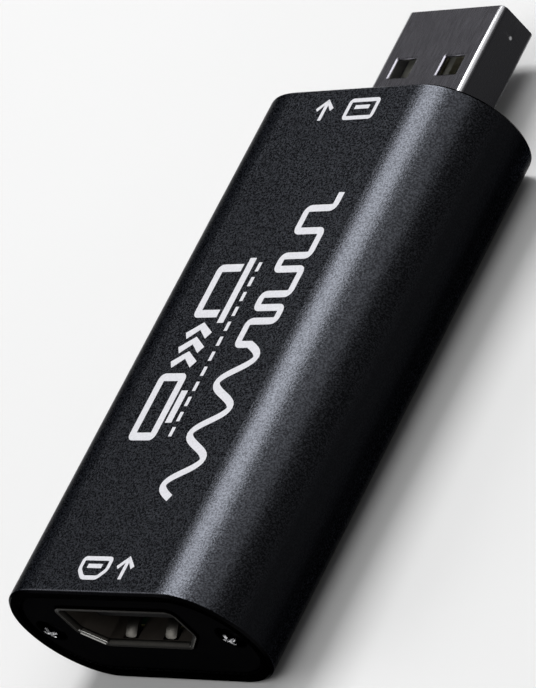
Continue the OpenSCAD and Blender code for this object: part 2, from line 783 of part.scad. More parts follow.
module capture_chip() {
    dot_place = chip_width / 2 - chip_dot_inset;
    color(chip_black) translate([0, chip_y, board_top]) difference() {
        chip_body(chip_width, chip_width, chip_height);
        translate([-dot_place, -dot_place, chip_standoff + chip_height - chip_dot_depth])
            cylinder(r = chip_dot_radius, h = cut);
    }
}

module capture_chip_leads() {
    exit_height = chip_standoff + chip_height / 2;
    color(tin) translate([0, chip_y, board_top]) for (turn = [0 : 90 : 270]) rotate(turn)
        lead_row(chip_side_leads, chip_pitch, chip_width / 2, chip_lead_reach, exit_height, chip_lead_width);
}

module memory_chip() {
    color(chip_black) translate([memory_x, memory_y, board_top])
        chip_body(memory_width, memory_length, memory_height);
}

module memory_chip_leads() {
    exit_height = chip_standoff + memory_height / 2;
    half = memory_width / 2;
    color(tin) translate([memory_x, memory_y, board_top]) for (turn = [0, 180]) rotate(turn)
        lead_row(memory_side_leads, memory_pitch, half, memory_lead_reach, exit_height, memory_lead_width);
}

module at_regulators() {
    for (side = [-1, 1]) translate([side * regulator_x, regulator_y, board_top]) children();
}

module regulators() {
    color(chip_black) at_regulators() chip_body(regulator_width, regulator_length, regulator_height);
}

// Three leads on each regulator: two on one side and one in the middle of the other
module regulator_leads() {
    exit_height = chip_standoff + regulator_height / 2;
    half = regulator_width / 2;
    color(tin) at_regulators() for (row = [[0, pair_leads], [180, single_lead]]) rotate(row[0])
        lead_row(row[1], regulator_pitch, half, regulator_lead_reach, exit_height, regulator_lead_width);
}

module crystal_base() {
    color(ceramic) translate([crystal_x - crystal_width / 2, crystal_y - crystal_length / 2, board_top])
        cube([crystal_width, crystal_length, crystal_base_height]);
}

module crystal_lid() {
    width = crystal_width - 2 * crystal_ledge;
    length = crystal_length - 2 * crystal_ledge;
    color(tin) translate([crystal_x, crystal_y, board_top + crystal_base_height])
        linear_extrude(crystal_lid_height) round_box(width, length, crystal_corner);
}

// Middle of a two-ended part that lies along X
module part_middle(length, width, height, end) {
    translate([-length / 2 + end, -width / 2, 0]) cube([length - 2 * end, width, height]);
}

// Both metal ends of a two-ended part that lies along X
module part_ends(length, width, height, end) {
    for (start = [-length / 2, length / 2 - end])
        translate([start, -width / 2, 0]) cube([end, width, height]);
}

module at_capacitors() {
    first_y = chip_y - (capacitor_count - 1) / 2 * capacitor_step;
    for (side = [-1, 1], i = [0 : capacitor_count - 1])
        translate([side * capacitor_x, first_y + i * capacitor_step, board_top]) children();
}

module capacitors() {
    color(capacitor_tan) at_capacitors()
        part_middle(capacitor_length, capacitor_width, capacitor_height, capacitor_end);
}

module capacitor_ends() {
    color(tin) at_capacitors() part_ends(capacitor_length, capacitor_width, capacitor_height, capacitor_end);
}

module at_resistors() {
    first_x = -(resistor_count - 1) / 2 * resistor_step;
    for (i = [0 : resistor_count - 1])
        translate([first_x + i * resistor_step, resistor_y, board_top]) rotate(90) children();
}

module resistors() {
    color(chip_black) at_resistors()
        part_middle(resistor_length, resistor_width, resistor_height, resistor_end);
}

module resistor_ends() {
    color(tin) at_resistors() part_ends(resistor_length, resistor_width, resistor_height, resistor_end);
}

sleeve();
input_end_plate();
output_end_plate();
input_plate_screws();
output_plate_screws();
circuit_board();
input_socket_shell();
input_socket_insert();
input_socket_upper_contacts();
input_socket_lower_contacts();
output_plug_shell();
output_plug_insert();
output_plug_contacts();
capture_chip();
capture_chip_leads();
memory_chip();
memory_chip_leads();
regulators();
regulator_leads();
crystal_base();
crystal_lid();
capacitors();
capacitor_ends();
resistors();
resistor_ends();
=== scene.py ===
# %% [markdown]
# # A pocket video capture box
# The real thing is a short aluminium stick. A video socket sits in its near end, and a flat metal plug
# stands out of its far end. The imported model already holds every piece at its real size, so this lesson
# only dresses it: it sets the camera and the studio, models what needs softer edges than the packed
# solids have, and gives each surface its finish. Everything is in metres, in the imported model's own
# frame, with +Y towards the plug.

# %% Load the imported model
import math

import bmesh
import bpy
from mathutils import Matrix, Quaternion, Vector


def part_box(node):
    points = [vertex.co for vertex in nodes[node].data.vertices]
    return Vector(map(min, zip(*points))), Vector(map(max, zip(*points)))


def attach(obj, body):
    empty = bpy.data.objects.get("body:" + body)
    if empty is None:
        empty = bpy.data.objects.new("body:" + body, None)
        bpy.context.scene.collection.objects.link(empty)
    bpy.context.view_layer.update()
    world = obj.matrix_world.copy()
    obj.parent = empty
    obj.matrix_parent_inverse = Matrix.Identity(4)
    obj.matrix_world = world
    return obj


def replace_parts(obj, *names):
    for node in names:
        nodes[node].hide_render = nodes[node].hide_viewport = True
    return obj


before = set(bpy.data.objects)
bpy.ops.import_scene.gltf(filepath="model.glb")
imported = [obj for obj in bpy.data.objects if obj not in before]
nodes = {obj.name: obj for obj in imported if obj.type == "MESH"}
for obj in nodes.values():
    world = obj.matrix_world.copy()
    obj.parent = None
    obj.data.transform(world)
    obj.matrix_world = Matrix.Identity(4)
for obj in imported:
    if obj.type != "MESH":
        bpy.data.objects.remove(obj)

MM = 0.001
scene = bpy.context.scene
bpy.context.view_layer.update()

# %% [markdown]
# ## Camera
# The picture was taken from well above the right of the socket end, with the camera turned so that the
# stick climbs across the frame. Blender can aim a camera with a constraint, but a constraint keeps the
# horizon level. So the place is worked out from two angles and a distance, and a roll about the line of
# sight does the turning.

# %% Camera at the picture's viewing angle
CAMERA_AIM = Vector((-2.127, -3.178, 7.019)) * MM
CAMERA_DISTANCE = 469.71 * MM
CAMERA_AZIMUTH = math.radians(61.264)
CAMERA_ELEVATION = math.radians(33.015)
CAMERA_ROLL = math.radians(45.841)
CAMERA_LENS = 288.638
CAMERA_NEAR = 10 * MM

level = math.cos(CAMERA_ELEVATION)
towards_camera = Vector((
    math.sin(CAMERA_AZIMUTH) * level,
    -math.cos(CAMERA_AZIMUTH) * level,
    math.sin(CAMERA_ELEVATION),
))
camera = bpy.data.objects.new("picture_camera", bpy.data.cameras.new("picture_camera"))
camera.data.lens = CAMERA_LENS
camera.data.clip_start = CAMERA_NEAR
camera.location = CAMERA_AIM + towards_camera * CAMERA_DISTANCE
camera.rotation_mode = "QUATERNION"
level_turn = (-towards_camera).to_track_quat("-Z", "Y")
camera.rotation_quaternion = level_turn @ Quaternion((0, 0, 1), -CAMERA_ROLL)
scene.collection.objects.link(camera)
scene.camera = camera
print("camera at", [round(x / MM, 1) for x in camera.location], "mm")

# %% [markdown]
# ## Studio
# One softbox hangs over the far left of the stick. Its reflection is the soft grey streak that runs
# along the right shoulder, so its direction and its size are what place the streak and give it its
# width. A wide fill on the right carries the streak's tail down the shoulder, and a dim panel low on
# the left lifts the other shoulder. Two panels hang in front: what they give is the light on the
# socket's springs, on the rim and on the screws. A plain grey room fills in the rest. The floor is pale
# enough to come out near white under these lamps.

# %% Softbox, panels and room
LAMP_DISTANCE = 1.2


def softbox(name, direction, width_deg, length_deg, radiance):
    """Hang a flat lamp that faces the stick, with its length along the stick."""
    towards = Vector(direction).normalized()
    along = (Vector((0, 1, 0)) - towards * towards.y).normalized()
    across = along.cross(towards)
    lamp = bpy.data.lights.new(name, "AREA")
    lamp.shape = "RECTANGLE"
    lamp.size = 2 * LAMP_DISTANCE * math.tan(math.radians(width_deg / 2))
    lamp.size_y = 2 * LAMP_DISTANCE * math.tan(math.radians(length_deg / 2))
    lamp.energy = radiance * math.pi * lamp.size * lamp.size_y
    holder = bpy.data.objects.new(name, lamp)
    turn = Matrix((across, along, towards)).transposed().to_4x4()
    holder.matrix_world = Matrix.Translation(towards * LAMP_DISTANCE) @ turn
    scene.collection.objects.link(holder)
    print(name, "gives", round(lamp.energy, 2), "W")


softbox("streak_softbox", direction=(-0.29, 0.403, 0.868), width_deg=31, length_deg=20, radiance=13.1)
softbox("right_fill", direction=(0.33, 0.403, 0.854), width_deg=42, length_deg=40, radiance=1.35)
softbox("low_left_panel", direction=(-0.88, 0.403, 0.25), width_deg=24, length_deg=30, radiance=0.45)
softbox("front_left_panel", direction=(-0.76, -0.36, 0.54), width_deg=22, length_deg=44, radiance=2.6)
softbox("front_right_panel", direction=(0.42, -0.42, 0.8), width_deg=24, length_deg=24, radiance=3)

ROOM_LEVEL = 0.19
room = bpy.data.worlds.new("grey_room")
room.use_nodes = True
room.node_tree.nodes["Background"].inputs["Color"].default_value = (1, 1, 1, 1)
room.node_tree.nodes["Background"].inputs["Strength"].default_value = ROOM_LEVEL
scene.world = room
scene.view_settings.view_transform = "Standard"

# %% [markdown]
# ## Helpers for every material
# Colours are easiest to read as the hex values of a paint program, but Blender's sockets want linear
# light, so one function converts them. The next adds a node, sets its properties and fills or links its
# inputs. A third starts an empty finish, and the last turns the size of a grain, in millimetres, into a
# texture's scale.

# %% Colour and node helpers
def colour(hex_text):
    """Linear colour of an sRGB hex value."""
    shares = [int(hex_text[i:i + 2], 16) / 255 for i in (1, 3, 5)]
    return [s / 12.92 if s <= 0.04045 else ((s + 0.055) / 1.055) ** 2.4 for s in shares] + [1]


def add_node(tree, kind, inputs, **settings):
    """Add a node, set its properties, and fill or link its inputs by name or number."""
    node = tree.nodes.new(kind)
    for name, value in settings.items():
        setattr(node, name, value)
    for socket, value in inputs.items():
        if isinstance(value, bpy.types.NodeSocket):
            tree.links.new(value, node.inputs[socket])
        else:
            node.inputs[socket].default_value = value
    return node


def new_finish(name):
    """Empty node material, with its tree and the coordinates of the piece itself."""
    material = bpy.data.materials.new(name)
    material.use_nodes = True
    tree = material.node_tree
    tree.nodes.clear()
    place = add_node(tree, "ShaderNodeTexCoord", {}).outputs["Object"]
    return material, tree, place


def per_metre(size_mm):
    """Scale of a texture whose grain has this size."""
    return 1 / (size_mm * MM)


# Numbers of the colour sockets on a Mix node that is set to mix colours
MIX_A, MIX_B, MIX_OUT = 6, 7, 2
print("a mid grey is", round(colour("#808080")[0], 3), "in linear light")

# %% [markdown]
# ## Floor
# The floor is a big sheet of pale matt card. A plane is all that it needs, with a little unevenness in
# its tone so that it isn't a flat fill. It lies just under the stick and takes the stick's shadow.

# %% Pale floor
FLOOR_SIZE = 6
FLOOR_DROP = 0.01 * MM
CARD_CLOUD_MM = 60


def pale_card():
    """Uncoated card: an even pale grey without any gloss."""
    material, tree, place = new_finish("pale_matt_card")
    cloud = add_node(
        tree, "ShaderNodeTexNoise", {"Vector": place, "Scale": per_metre(CARD_CLOUD_MM), "Detail": 2},
    )
    tone = add_node(
        tree, "ShaderNodeMix",
        {0: cloud.outputs["Fac"], MIX_A: colour("#D8D8D8"), MIX_B: colour("#DCDCDC")}, data_type="RGBA",
    )
    shader = add_node(
        tree, "ShaderNodeBsdfPrincipled",
        {"Base Color": tone.outputs[MIX_OUT], "Roughness": 0.9, "Specular IOR Level": 0.0},
    )
    add_node(tree, "ShaderNodeOutputMaterial", {"Surface": shader.outputs[0]})
    return material


def to_object(name, bm, finishes):
    """Put a mesh and its finishes in an object of the scene."""
    holder = bpy.data.objects.new(name, bpy.data.meshes.new(name))
    bm.to_mesh(holder.data)
    bm.free()
    for finish in finishes:
        holder.data.materials.append(finish)
    scene.collection.objects.link(holder)
    return holder


bm = bmesh.new()
bmesh.ops.create_grid(bm, x_segments=1, y_segments=1, size=FLOOR_SIZE / 2)
bmesh.ops.translate(bm, verts=bm.verts, vec=(0, 0, -FLOOR_DROP))
floor = to_object("floor", bm, [pale_card()])
print("floor of", FLOOR_SIZE, "m")

# %% [markdown]
# ## Black anodised sleeve
# The sleeve is extruded aluminium, blasted with fine grit and then anodised black. Blasting leaves a
# skin of tiny pits, so the softbox smears into a broad streak that sparkles. The dye makes the metal
# nearly black, with a hint of blue. Real pits are under a tenth of a millimetre. Here the grain is
# drawn a little coarser, because finer grain would vanish between the pixels. Object coordinates tell
# the shader where the sawn ends and the rims are, and how far round the side a point lies. With them it
# paints shade on the round sides and the sawn ends, and pales the rims with wear and a painted highlight.

# %% Sizes on the sleeve
GRAIN_MM = 0.16
GRAIN_DEPTH = 0.017 * MM
RIM_CHAMFER = 0.25 * MM
RIM_LINE = 0.09 * MM
RIM_PATCH_MM = 1.2
SAWN_DEPTH = 0.19 * MM
FLAT_EDGE = 0.2 * MM
SIDE_START = 4 * MM
SIDE_FULL = 1.2 * MM
PAINTED_SIDE_SHADE = 0.26
sleeve_low, sleeve_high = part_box("sleeve")
sleeve_middle = (sleeve_low + sleeve_high) / 2
sleeve_half = (sleeve_high - sleeve_low) / 2
print("sleeve of", [round(2 * half / MM, 2) for half in sleeve_half], "mm")

# %% Anodised finish
def reach_from(tree, place, middle):
    """How far a point lies from a piece's middle, on either side alike: as a vector and along each axis."""
    centred = add_node(
        tree, "ShaderNodeVectorMath", {0: place, 1: middle}, operation="SUBTRACT",
    ).outputs[0]
    mirrored = add_node(tree, "ShaderNodeVectorMath", {0: centred}, operation="ABSOLUTE").outputs[0]
    return mirrored, add_node(tree, "ShaderNodeSeparateXYZ", {"Vector": mirrored}).outputs


def anodised_aluminium():
    """Blasted and black-anodised metal: a dark sparkle, painted shade on the round sides and the sawn ends,
    and flat rims that are paler with wear and a painted highlight.
    """
    material, tree, place = new_finish("black_anodised_aluminium")
    grain = add_node(
        tree, "ShaderNodeTexNoise",
        {"Vector": place, "Scale": per_metre(GRAIN_MM), "Detail": 2, "Roughness": 0.6},
    ).outputs["Fac"]
    tone = add_node(
        tree, "ShaderNodeMapRange", {"Value": grain, "From Min": 0.4, "From Max": 0.72},
    ).outputs[0]
    reach = reach_from(tree, place, sleeve_middle)[1]
    # The round sides are darkened with painted shade, and their grain is calmer
    shade = add_node(
        tree, "ShaderNodeMapRange",
        {"Value": reach["Z"], "From Min": SIDE_START, "From Max": SIDE_FULL, "To Min": 1.0,
         "To Max": PAINTED_SIDE_SHADE},
        interpolation_type="SMOOTHSTEP",
    ).outputs[0]
    calm = add_node(tree, "ShaderNodeMath", {0: tone, 1: shade}, operation="MULTIPLY").outputs[0]
    black = add_node(
        tree, "ShaderNodeMix",
        {0: calm, MIX_A: colour("#242528"), MIX_B: colour("#46484D")}, data_type="RGBA",
    ).outputs[MIX_OUT]
    with_painted_shade = add_node(
        tree, "ShaderNodeVectorMath", {0: black, "Scale": shade}, operation="SCALE",
    ).outputs[0]
    # Painted shade: the sawn ends and their chamfers are drawn darker than the blasted skin
    sawn = add_node(
        tree, "ShaderNodeMapRange",
        {"Value": reach["Y"], "From Min": sleeve_half.y - SAWN_DEPTH - RIM_LINE / 2,
         "From Max": sleeve_half.y - SAWN_DEPTH},
    ).outputs[0]
    with_painted_end_shade = add_node(
        tree, "ShaderNodeMix", {0: sawn, MIX_A: with_painted_shade, MIX_B: colour("#0A0A0B")}, data_type="RGBA",
    ).outputs[MIX_OUT]
    # Only the rims of the two flats are paler, in patches: wear, and a painted highlight along each rim
    edge_y = sleeve_half.y - RIM_CHAMFER
    from_edge = add_node(
        tree, "ShaderNodeMath", {0: reach["Y"], 1: edge_y}, operation="SUBTRACT",
    ).outputs[0]
    beside = add_node(tree, "ShaderNodeMath", {0: from_edge}, operation="ABSOLUTE").outputs[0]
    rim = add_node(
        tree, "ShaderNodeMapRange", {"Value": beside, "From Max": RIM_LINE, "To Min": 1.0, "To Max": 0.0},
    ).outputs[0]
    flat = add_node(
        tree, "ShaderNodeMapRange",
        {"Value": reach["Z"], "From Min": sleeve_half.z - FLAT_EDGE, "From Max": sleeve_half.z},
    ).outputs[0]
    patches = add_node(
        tree, "ShaderNodeTexNoise", {"Vector": place, "Scale": per_metre(RIM_PATCH_MM), "Detail": 3},
    ).outputs["Fac"]
    rubbed_and_highlit = add_node(tree, "ShaderNodeMath", {0: rim, 1: flat}, operation="MULTIPLY").outputs[0]
    rim_wear_and_highlight = add_node(tree, "ShaderNodeMath", {0: rubbed_and_highlit, 1: patches}, operation="MULTIPLY").outputs[0]
    skin = add_node(
        tree, "ShaderNodeMix", {0: rim_wear_and_highlight, MIX_A: with_painted_end_shade, MIX_B: colour("#5C5D62")}, data_type="RGBA",
    ).outputs[MIX_OUT]
    # The bright grains are the rougher ones
    rough = add_node(
        tree, "ShaderNodeMapRange", {"Value": tone, "To Min": 0.24, "To Max": 0.37},
    ).outputs[0]
    pits = add_node(
        tree, "ShaderNodeBump", {"Height": grain, "Strength": 1.0, "Distance": GRAIN_DEPTH},
    ).outputs[0]
    shader = add_node(
        tree, "ShaderNodeBsdfPrincipled",
        {"Base Color": skin, "Metallic": 1.0, "Roughness": rough, "Normal": pits,
         "Specular Tint": colour("#9A9A9A")},
    )
    add_node(tree, "ShaderNodeOutputMaterial", {"Surface": shader.outputs[0]})
    return material


nodes["sleeve"].material_slots[0].material = anodised_aluminium()
print("sleeve finished from", round(sleeve_low.y / MM, 2), "to", round(sleeve_high.y / MM, 2), "mm along Y")

# %% [markdown]
# ## End plates
# Each end is closed by a moulded black plate. Its mould was spark-eroded, which leaves a fine even
# pebble, so the plate looks matt and almost black. The pebble is a cell pattern that only touches the
# bump.

# %% Spark-eroded black plastic
PEBBLE_MM = 0.14
PEBBLE_DEPTH = 0.004 * MM
PLATE_CLOUD_MM = 2.5


def moulded_black():
    """Moulded plastic: matt and almost black, with a fine even pebble."""
    material, tree, place = new_finish("spark_eroded_black_abs")
    pebble = add_node(
        tree, "ShaderNodeTexVoronoi", {"Vector": place, "Scale": per_metre(PEBBLE_MM)}, feature="SMOOTH_F1",
    ).outputs["Distance"]
    cloud = add_node(
        tree, "ShaderNodeTexNoise", {"Vector": place, "Scale": per_metre(PLATE_CLOUD_MM), "Detail": 3},
    ).outputs["Fac"]
    black = add_node(
        tree, "ShaderNodeMix",
        {0: cloud, MIX_A: colour("#060607"), MIX_B: colour("#0A0A0B")}, data_type="RGBA",
    ).outputs[MIX_OUT]
    rough = add_node(tree, "ShaderNodeMapRange", {"Value": cloud, "To Min": 0.55, "To Max": 0.7}).outputs[0]
    bumps = add_node(
        tree, "ShaderNodeBump", {"Height": pebble, "Strength": 0.8, "Distance": PEBBLE_DEPTH},
    ).outputs[0]
    shader = add_node(
        tree, "ShaderNodeBsdfPrincipled",
        {"Base Color": black, "Roughness": rough, "Normal": bumps, "Specular IOR Level": 0.0},
    )
    add_node(tree, "ShaderNodeOutputMaterial", {"Surface": shader.outputs[0]})
    return material


plate_black = moulded_black()
for name in ("input_end_plate", "output_end_plate"):
    nodes[name].material_slots[0].material = plate_black
print("two end plates in", plate_black.name)

# %% [markdown]
# ## Plug shell
# The plug's shell is folded from nickel-plated sheet. Folding rounds its long edges, and the punch
# drags the sheet down round each latch window. Those small rounds are what catch the light, and the
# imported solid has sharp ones. So the shell is modelled again: a box loses its ends, its long edges are
# bevelled, planes cut the windows free, the sheet round them is dished, it gets its thickness, and one
# last bevel softens every cut edge.

# %% Sizes of the plug shell
PLUG_WIDTH = 12 * MM
PLUG_CORNER = 0.6 * MM
PLUG_SHEET = 0.3 * MM
PLUG_EDGE = 0.1 * MM
LATCH_WIDTH = 2.3 * MM
LATCH_LENGTH = 2.0 * MM
LATCH_SETBACK = 5.4 * MM
LATCH_SPACING = 6 * MM
DISH_REACH = 0.3 * MM
DISH_DEPTH = 0.1 * MM
DISH_STEPS = 5
SEAM_WIDTH = 0.12 * MM
SEAM_DEPTH = 0.12 * MM
DIMPLE_RADIUS = 0.3 * MM
DIMPLE_DEPTH = 0.06 * MM
DIMPLE_SETBACK = 1.95 * MM
DIMPLE_STEPS = 4
WING_LENGTH = 2.0 * MM
WING_SETBACK = 0.6 * MM

plug_low, plug_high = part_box("output_plug_shell")
plug_middle = (plug_low + plug_high) / 2
latch_far = plug_high.y - LATCH_SETBACK
latch_near = latch_far - LATCH_LENGTH
latch_sides = [side * LATCH_SPACING / 2 for side in (-1, 1)]
dimple_y = plug_high.y - DIMPLE_SETBACK
print("plug shell runs", round((plug_high.y - plug_low.y) / MM, 2), "mm along Y")

# %% Helpers for sorting, cutting and softening a mesh
WELD = 0.006 * MM
SMOOTH_LIMIT = math.radians(45)


def put_in_order(bm):
    """Sort a mesh by place, because most operators leave it in an order that changes from run to run."""
    by_place = sorted(bm.verts, key=lambda v: v.co[:])
    for i, v in enumerate(by_place):
        v.index = i
    points = [v.co.copy() for v in by_place]
    # Faces with the same corners count as one, and each starts at the corner that comes first
    faces = {}
    for face in bm.faces:
        corners = [v.index for v in face.verts]
        first = corners.index(min(corners))
        faces[frozenset(corners)] = (corners[first:] + corners[:first], face.material_index)
    bm.clear()
    verts = [bm.verts.new(point) for point in points]
    for corners, finish in sorted(faces.values()):
        bm.faces.new([verts[i] for i in corners]).material_index = finish
    bm.normal_update()


def slice_at(bm, faces, axis, value):
    """Cut these faces along a plane square to one axis."""
    normal = [float(i == axis) for i in range(3)]
    geom = list(dict.fromkeys(part for f in faces for part in (*f.verts, *f.edges, f)))
    bmesh.ops.bisect_plane(bm, geom=geom, plane_co=[value * n for n in normal], plane_no=normal)


def soften(bm, edges, radius, segments=3):
    """Round a set of edges."""
    bmesh.ops.bevel(
        bm, geom=edges, offset=radius, offset_type="OFFSET", segments=segments, profile=0.5,
        affect="EDGES", material=-1, clamp_overlap=True,
    )
    put_in_order(bm)


def add_block(bm, middle, size, edge):
    """Add a small block with softened edges."""
    block = Matrix.Translation(middle) @ Matrix.Diagonal((*size, 1))
    made = bmesh.ops.create_cube(bm, size=1, matrix=block)["verts"]
    soften(bm, list(dict.fromkeys(e for v in made for e in v.link_edges)), edge)


def outward_reach(face, axis_z):
    """How far a face looks away from a lengthwise axis: below zero where it looks inwards."""
    middle = face.calc_center_median()
    return face.normal.x * middle.x + face.normal.z * (middle.z - axis_z)


def sharp_edges(bm, least_deg=50):
    """Edges where two faces meet at more than this angle."""
    return [e for e in bm.edges if e.is_manifold and e.calc_face_angle() > math.radians(least_deg)]


def new_piece(name, bm, finishes):
    """Turn a finished mesh into a smooth piece that rides on the stick."""
    piece = to_object(name, bm, finishes)
    piece.data.shade_smooth()
    piece.data.set_sharp_from_angle(angle=SMOOTH_LIMIT)
    flats = piece.modifiers.new("keep_flats_flat", "WEIGHTED_NORMAL")
    flats.keep_sharp = True
    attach(piece, "root")
    print(name, "has", len(piece.data.polygons), "faces")
    return piece


def clean(bm, split=True):
    """Merge points that lie together, split faces with many corners, and drop faces without area."""
    bmesh.ops.remove_doubles(bm, verts=bm.verts, dist=WELD)
    if split:
        bmesh.ops.triangulate(bm, faces=[f for f in bm.faces if len(f.verts) > 4])
    bmesh.ops.dissolve_degenerate(bm, edges=bm.edges, dist=WELD)
    put_in_order(bm)
    print("clean mesh with", sum(not e.is_manifold for e in bm.edges), "open edges")


print("points within", round(WELD / MM, 3), "mm of each other are merged")

# %% Rubbed folds with a painted highlight, and painted shade on the sides of the plug
FOLD_BLEND = 0.2 * PLUG_CORNER
FOLD_SHINE = 0.4 * MM
SIDE_BLEND = 0.12 * MM
DIMPLE_HIGHLIGHT_CORE = DIMPLE_RADIUS / 3
DIMPLE_HIGHLIGHT_RIM = 0.7 * DIMPLE_RADIUS


def plug_wear_and_painted_light(tree, place, metal):
    """Brighten the folds beside the flats with rubbing and a painted highlight, paint a highlight in the
    middle of each dimple, and paint shade on the narrow sides.
    """
    half = Vector((PLUG_WIDTH / 2, 0, (plug_high.z - plug_low.z) / 2))
    mirrored, reach = reach_from(tree, place, (0, 0, plug_middle.z))
    bend_x = half.x - PLUG_CORNER
    # The folds beside the flats: rubbed metal and a painted highlight
    outer = add_node(
        tree, "ShaderNodeMapRange",
        {"Value": reach["X"], "From Min": bend_x, "From Max": bend_x + FOLD_BLEND},
    ).outputs[0]
    high = add_node(
        tree, "ShaderNodeMapRange",
        {"Value": reach["Z"], "From Min": half.z - FOLD_SHINE,
         "From Max": half.z - FOLD_SHINE / 4},
    ).outputs[0]
    fold = add_node(tree, "ShaderNodeMath", {0: outer, 1: high}, operation="MULTIPLY").outputs[0]
    # A painted highlight in the middle of each dimple
    dimple = (PLUG_WIDTH / 2, dimple_y, 0)
    away = add_node(
        tree, "ShaderNodeVectorMath", {0: mirrored, 1: dimple}, operation="DISTANCE",
    ).outputs["Value"]
    dimple_highlight = add_node(
        tree, "ShaderNodeMapRange",
        {"Value": away, "From Min": DIMPLE_HIGHLIGHT_CORE, "From Max": DIMPLE_HIGHLIGHT_RIM, "To Min": 1.0, "To Max": 0.0},
    ).outputs[0]
    rubbed_and_highlit = add_node(tree, "ShaderNodeMath", {0: fold, 1: dimple_highlight}, operation="MAXIMUM").outputs[0]
    # Painted shade: the narrow sides are drawn darker
    side = add_node(
        tree, "ShaderNodeMapRange",
        {"Value": reach["X"], "From Min": half.x - SIDE_BLEND,
         "From Max": half.x - SIDE_BLEND / 6},
    ).outputs[0]
    with_painted_shade = add_node(
        tree, "ShaderNodeMix", {0: side, MIX_A: metal, MIX_B: colour("#262628")}, data_type="RGBA",
    ).outputs[MIX_OUT]
    return add_node(
        tree, "ShaderNodeMix", {0: rubbed_and_highlit, MIX_A: with_painted_shade, MIX_B: colour("#9C9C9E")}, data_type="RGBA",
    ).outputs[MIX_OUT]


print("plug folds shine over", round(FOLD_SHINE / MM, 2), "mm")

# %% Nickel plate
BRUSH_MM = 0.12
BRUSH_LENGTH = 14
BRUSH_DEPTH = 0.002 * MM
SHINE_CLOUD_MM = 1.6


def nickel_plate(name, metals, roughs, tones=None, glance="#FFFFFF"):
    """Rolled and plated sheet: faint lines along Y, a cloudy shine, and a tint for glancing light."""
    material, tree, place = new_finish(name)
    stretched = add_node(
        tree, "ShaderNodeMapping", {"Vector": place, "Scale": (1, 1 / BRUSH_LENGTH, 1)},
    ).outputs[0]
    lines = add_node(
        tree, "ShaderNodeTexNoise", {"Vector": stretched, "Scale": per_metre(BRUSH_MM), "Detail": 2},
    ).outputs["Fac"]
    cloud = add_node(
        tree, "ShaderNodeTexNoise", {"Vector": place, "Scale": per_metre(SHINE_CLOUD_MM), "Detail": 3},
    ).outputs["Fac"]
    metal = add_node(
        tree, "ShaderNodeMix",
        {0: cloud, MIX_A: colour(metals[0]), MIX_B: colour(metals[1])}, data_type="RGBA",
    ).outputs[MIX_OUT]
    if tones:
        metal = tones(tree, place, metal)
    rough = add_node(
        tree, "ShaderNodeMapRange", {"Value": lines, "To Min": roughs[0], "To Max": roughs[1]},
    ).outputs[0]
    rolled = add_node(
        tree, "ShaderNodeBump", {"Height": lines, "Strength": 0.35, "Distance": BRUSH_DEPTH},
    ).outputs[0]
    shader = add_node(
        tree, "ShaderNodeBsdfPrincipled",
        {"Base Color": metal, "Metallic": 1.0, "Roughness": rough, "Normal": rolled,
         "Specular Tint": colour(glance)},
    )
    add_node(tree, "ShaderNodeOutputMaterial", {"Surface": shader.outputs[0]})
    return material


plug_nickel = nickel_plate(
    "rolled_nickel_plate", ("#4C4B50", "#56555A"), roughs=(0.2, 0.34), tones=plug_wear_and_painted_light,
)
# The inside of the shell is a paler copy of the nickel: painted light inside the plug
inner_nickel_painted_light = nickel_plate("paler_inner_nickel_painted_light", ("#78787A", "#8A8A8C"), roughs=(0.45, 0.6))
print("nickel for the plug:", plug_nickel.name, "and", inner_nickel_painted_light.name)

# %% Folded tube with its windows and its seam
# Shares of a normal along an axis from which a face counts as facing that way, and as square to it
FACING = 0.9
SQUARE = 0.99

bm = bmesh.new()
tube = Matrix.Diagonal((PLUG_WIDTH, plug_high.y - plug_low.y, plug_high.z - plug_low.z, 1))
bmesh.ops.create_cube(bm, size=1, matrix=Matrix.Translation(plug_middle) @ tube)
open_ends = [f for f in bm.faces if abs(f.normal.y) > FACING]
bmesh.ops.delete(bm, geom=open_ends, context="FACES_ONLY")
long_edges = [e for e in bm.edges if abs(e.verts[0].co.y - e.verts[1].co.y) > PLUG_WIDTH]
soften(bm, long_edges, PLUG_CORNER, segments=10)


def flat_faces():
    """Faces of the flat top and bottom."""
    return [f for f in bm.faces if abs(f.normal.z) > FACING]


for step in range(DISH_STEPS + 1):
    spread = DISH_REACH * step / DISH_STEPS
    for side in latch_sides:
        slice_at(bm, flat_faces(), 0, side - LATCH_WIDTH / 2 - spread)
        slice_at(bm, flat_faces(), 0, side + LATCH_WIDTH / 2 + spread)
    slice_at(bm, flat_faces(), 1, latch_near - spread)
    slice_at(bm, flat_faces(), 1, latch_far + spread)
for side in (-1, 1):
    slice_at(bm, [f for f in bm.faces if f.normal.z < -FACING], 0, side * SEAM_WIDTH / 2)


def in_latch(face):
    """Whether a face of the flat top or bottom lies in a latch window."""
    middle = face.calc_center_median()
    across = any(abs(middle.x - side) < LATCH_WIDTH / 2 for side in latch_sides)
    return across and latch_near < middle.y < latch_far and abs(face.normal.z) > FACING


bmesh.ops.delete(bm, geom=[f for f in bm.faces if in_latch(f)], context="FACES")
latch_middle = (latch_near + latch_far) / 2
for v in {v for f in flat_faces() for v in f.verts}:
    across = max(min(abs(v.co.x - side) for side in latch_sides) - LATCH_WIDTH / 2, 0)
    along = max(abs(v.co.y - latch_middle) - LATCH_LENGTH / 2, 0)
    nearness = max(1 - math.hypot(across, along) / DISH_REACH, 0)
    v.co.z -= math.copysign(DISH_DEPTH * nearness ** 2, v.co.z - plug_middle.z)
print("tube of", len(bm.faces), "faces with dished windows")

# %% Side dimples, the thickness of the sheet and the seam
def side_faces():
    """Faces of the two narrow sides."""
    return [f for f in bm.faces if abs(f.normal.x) > SQUARE]


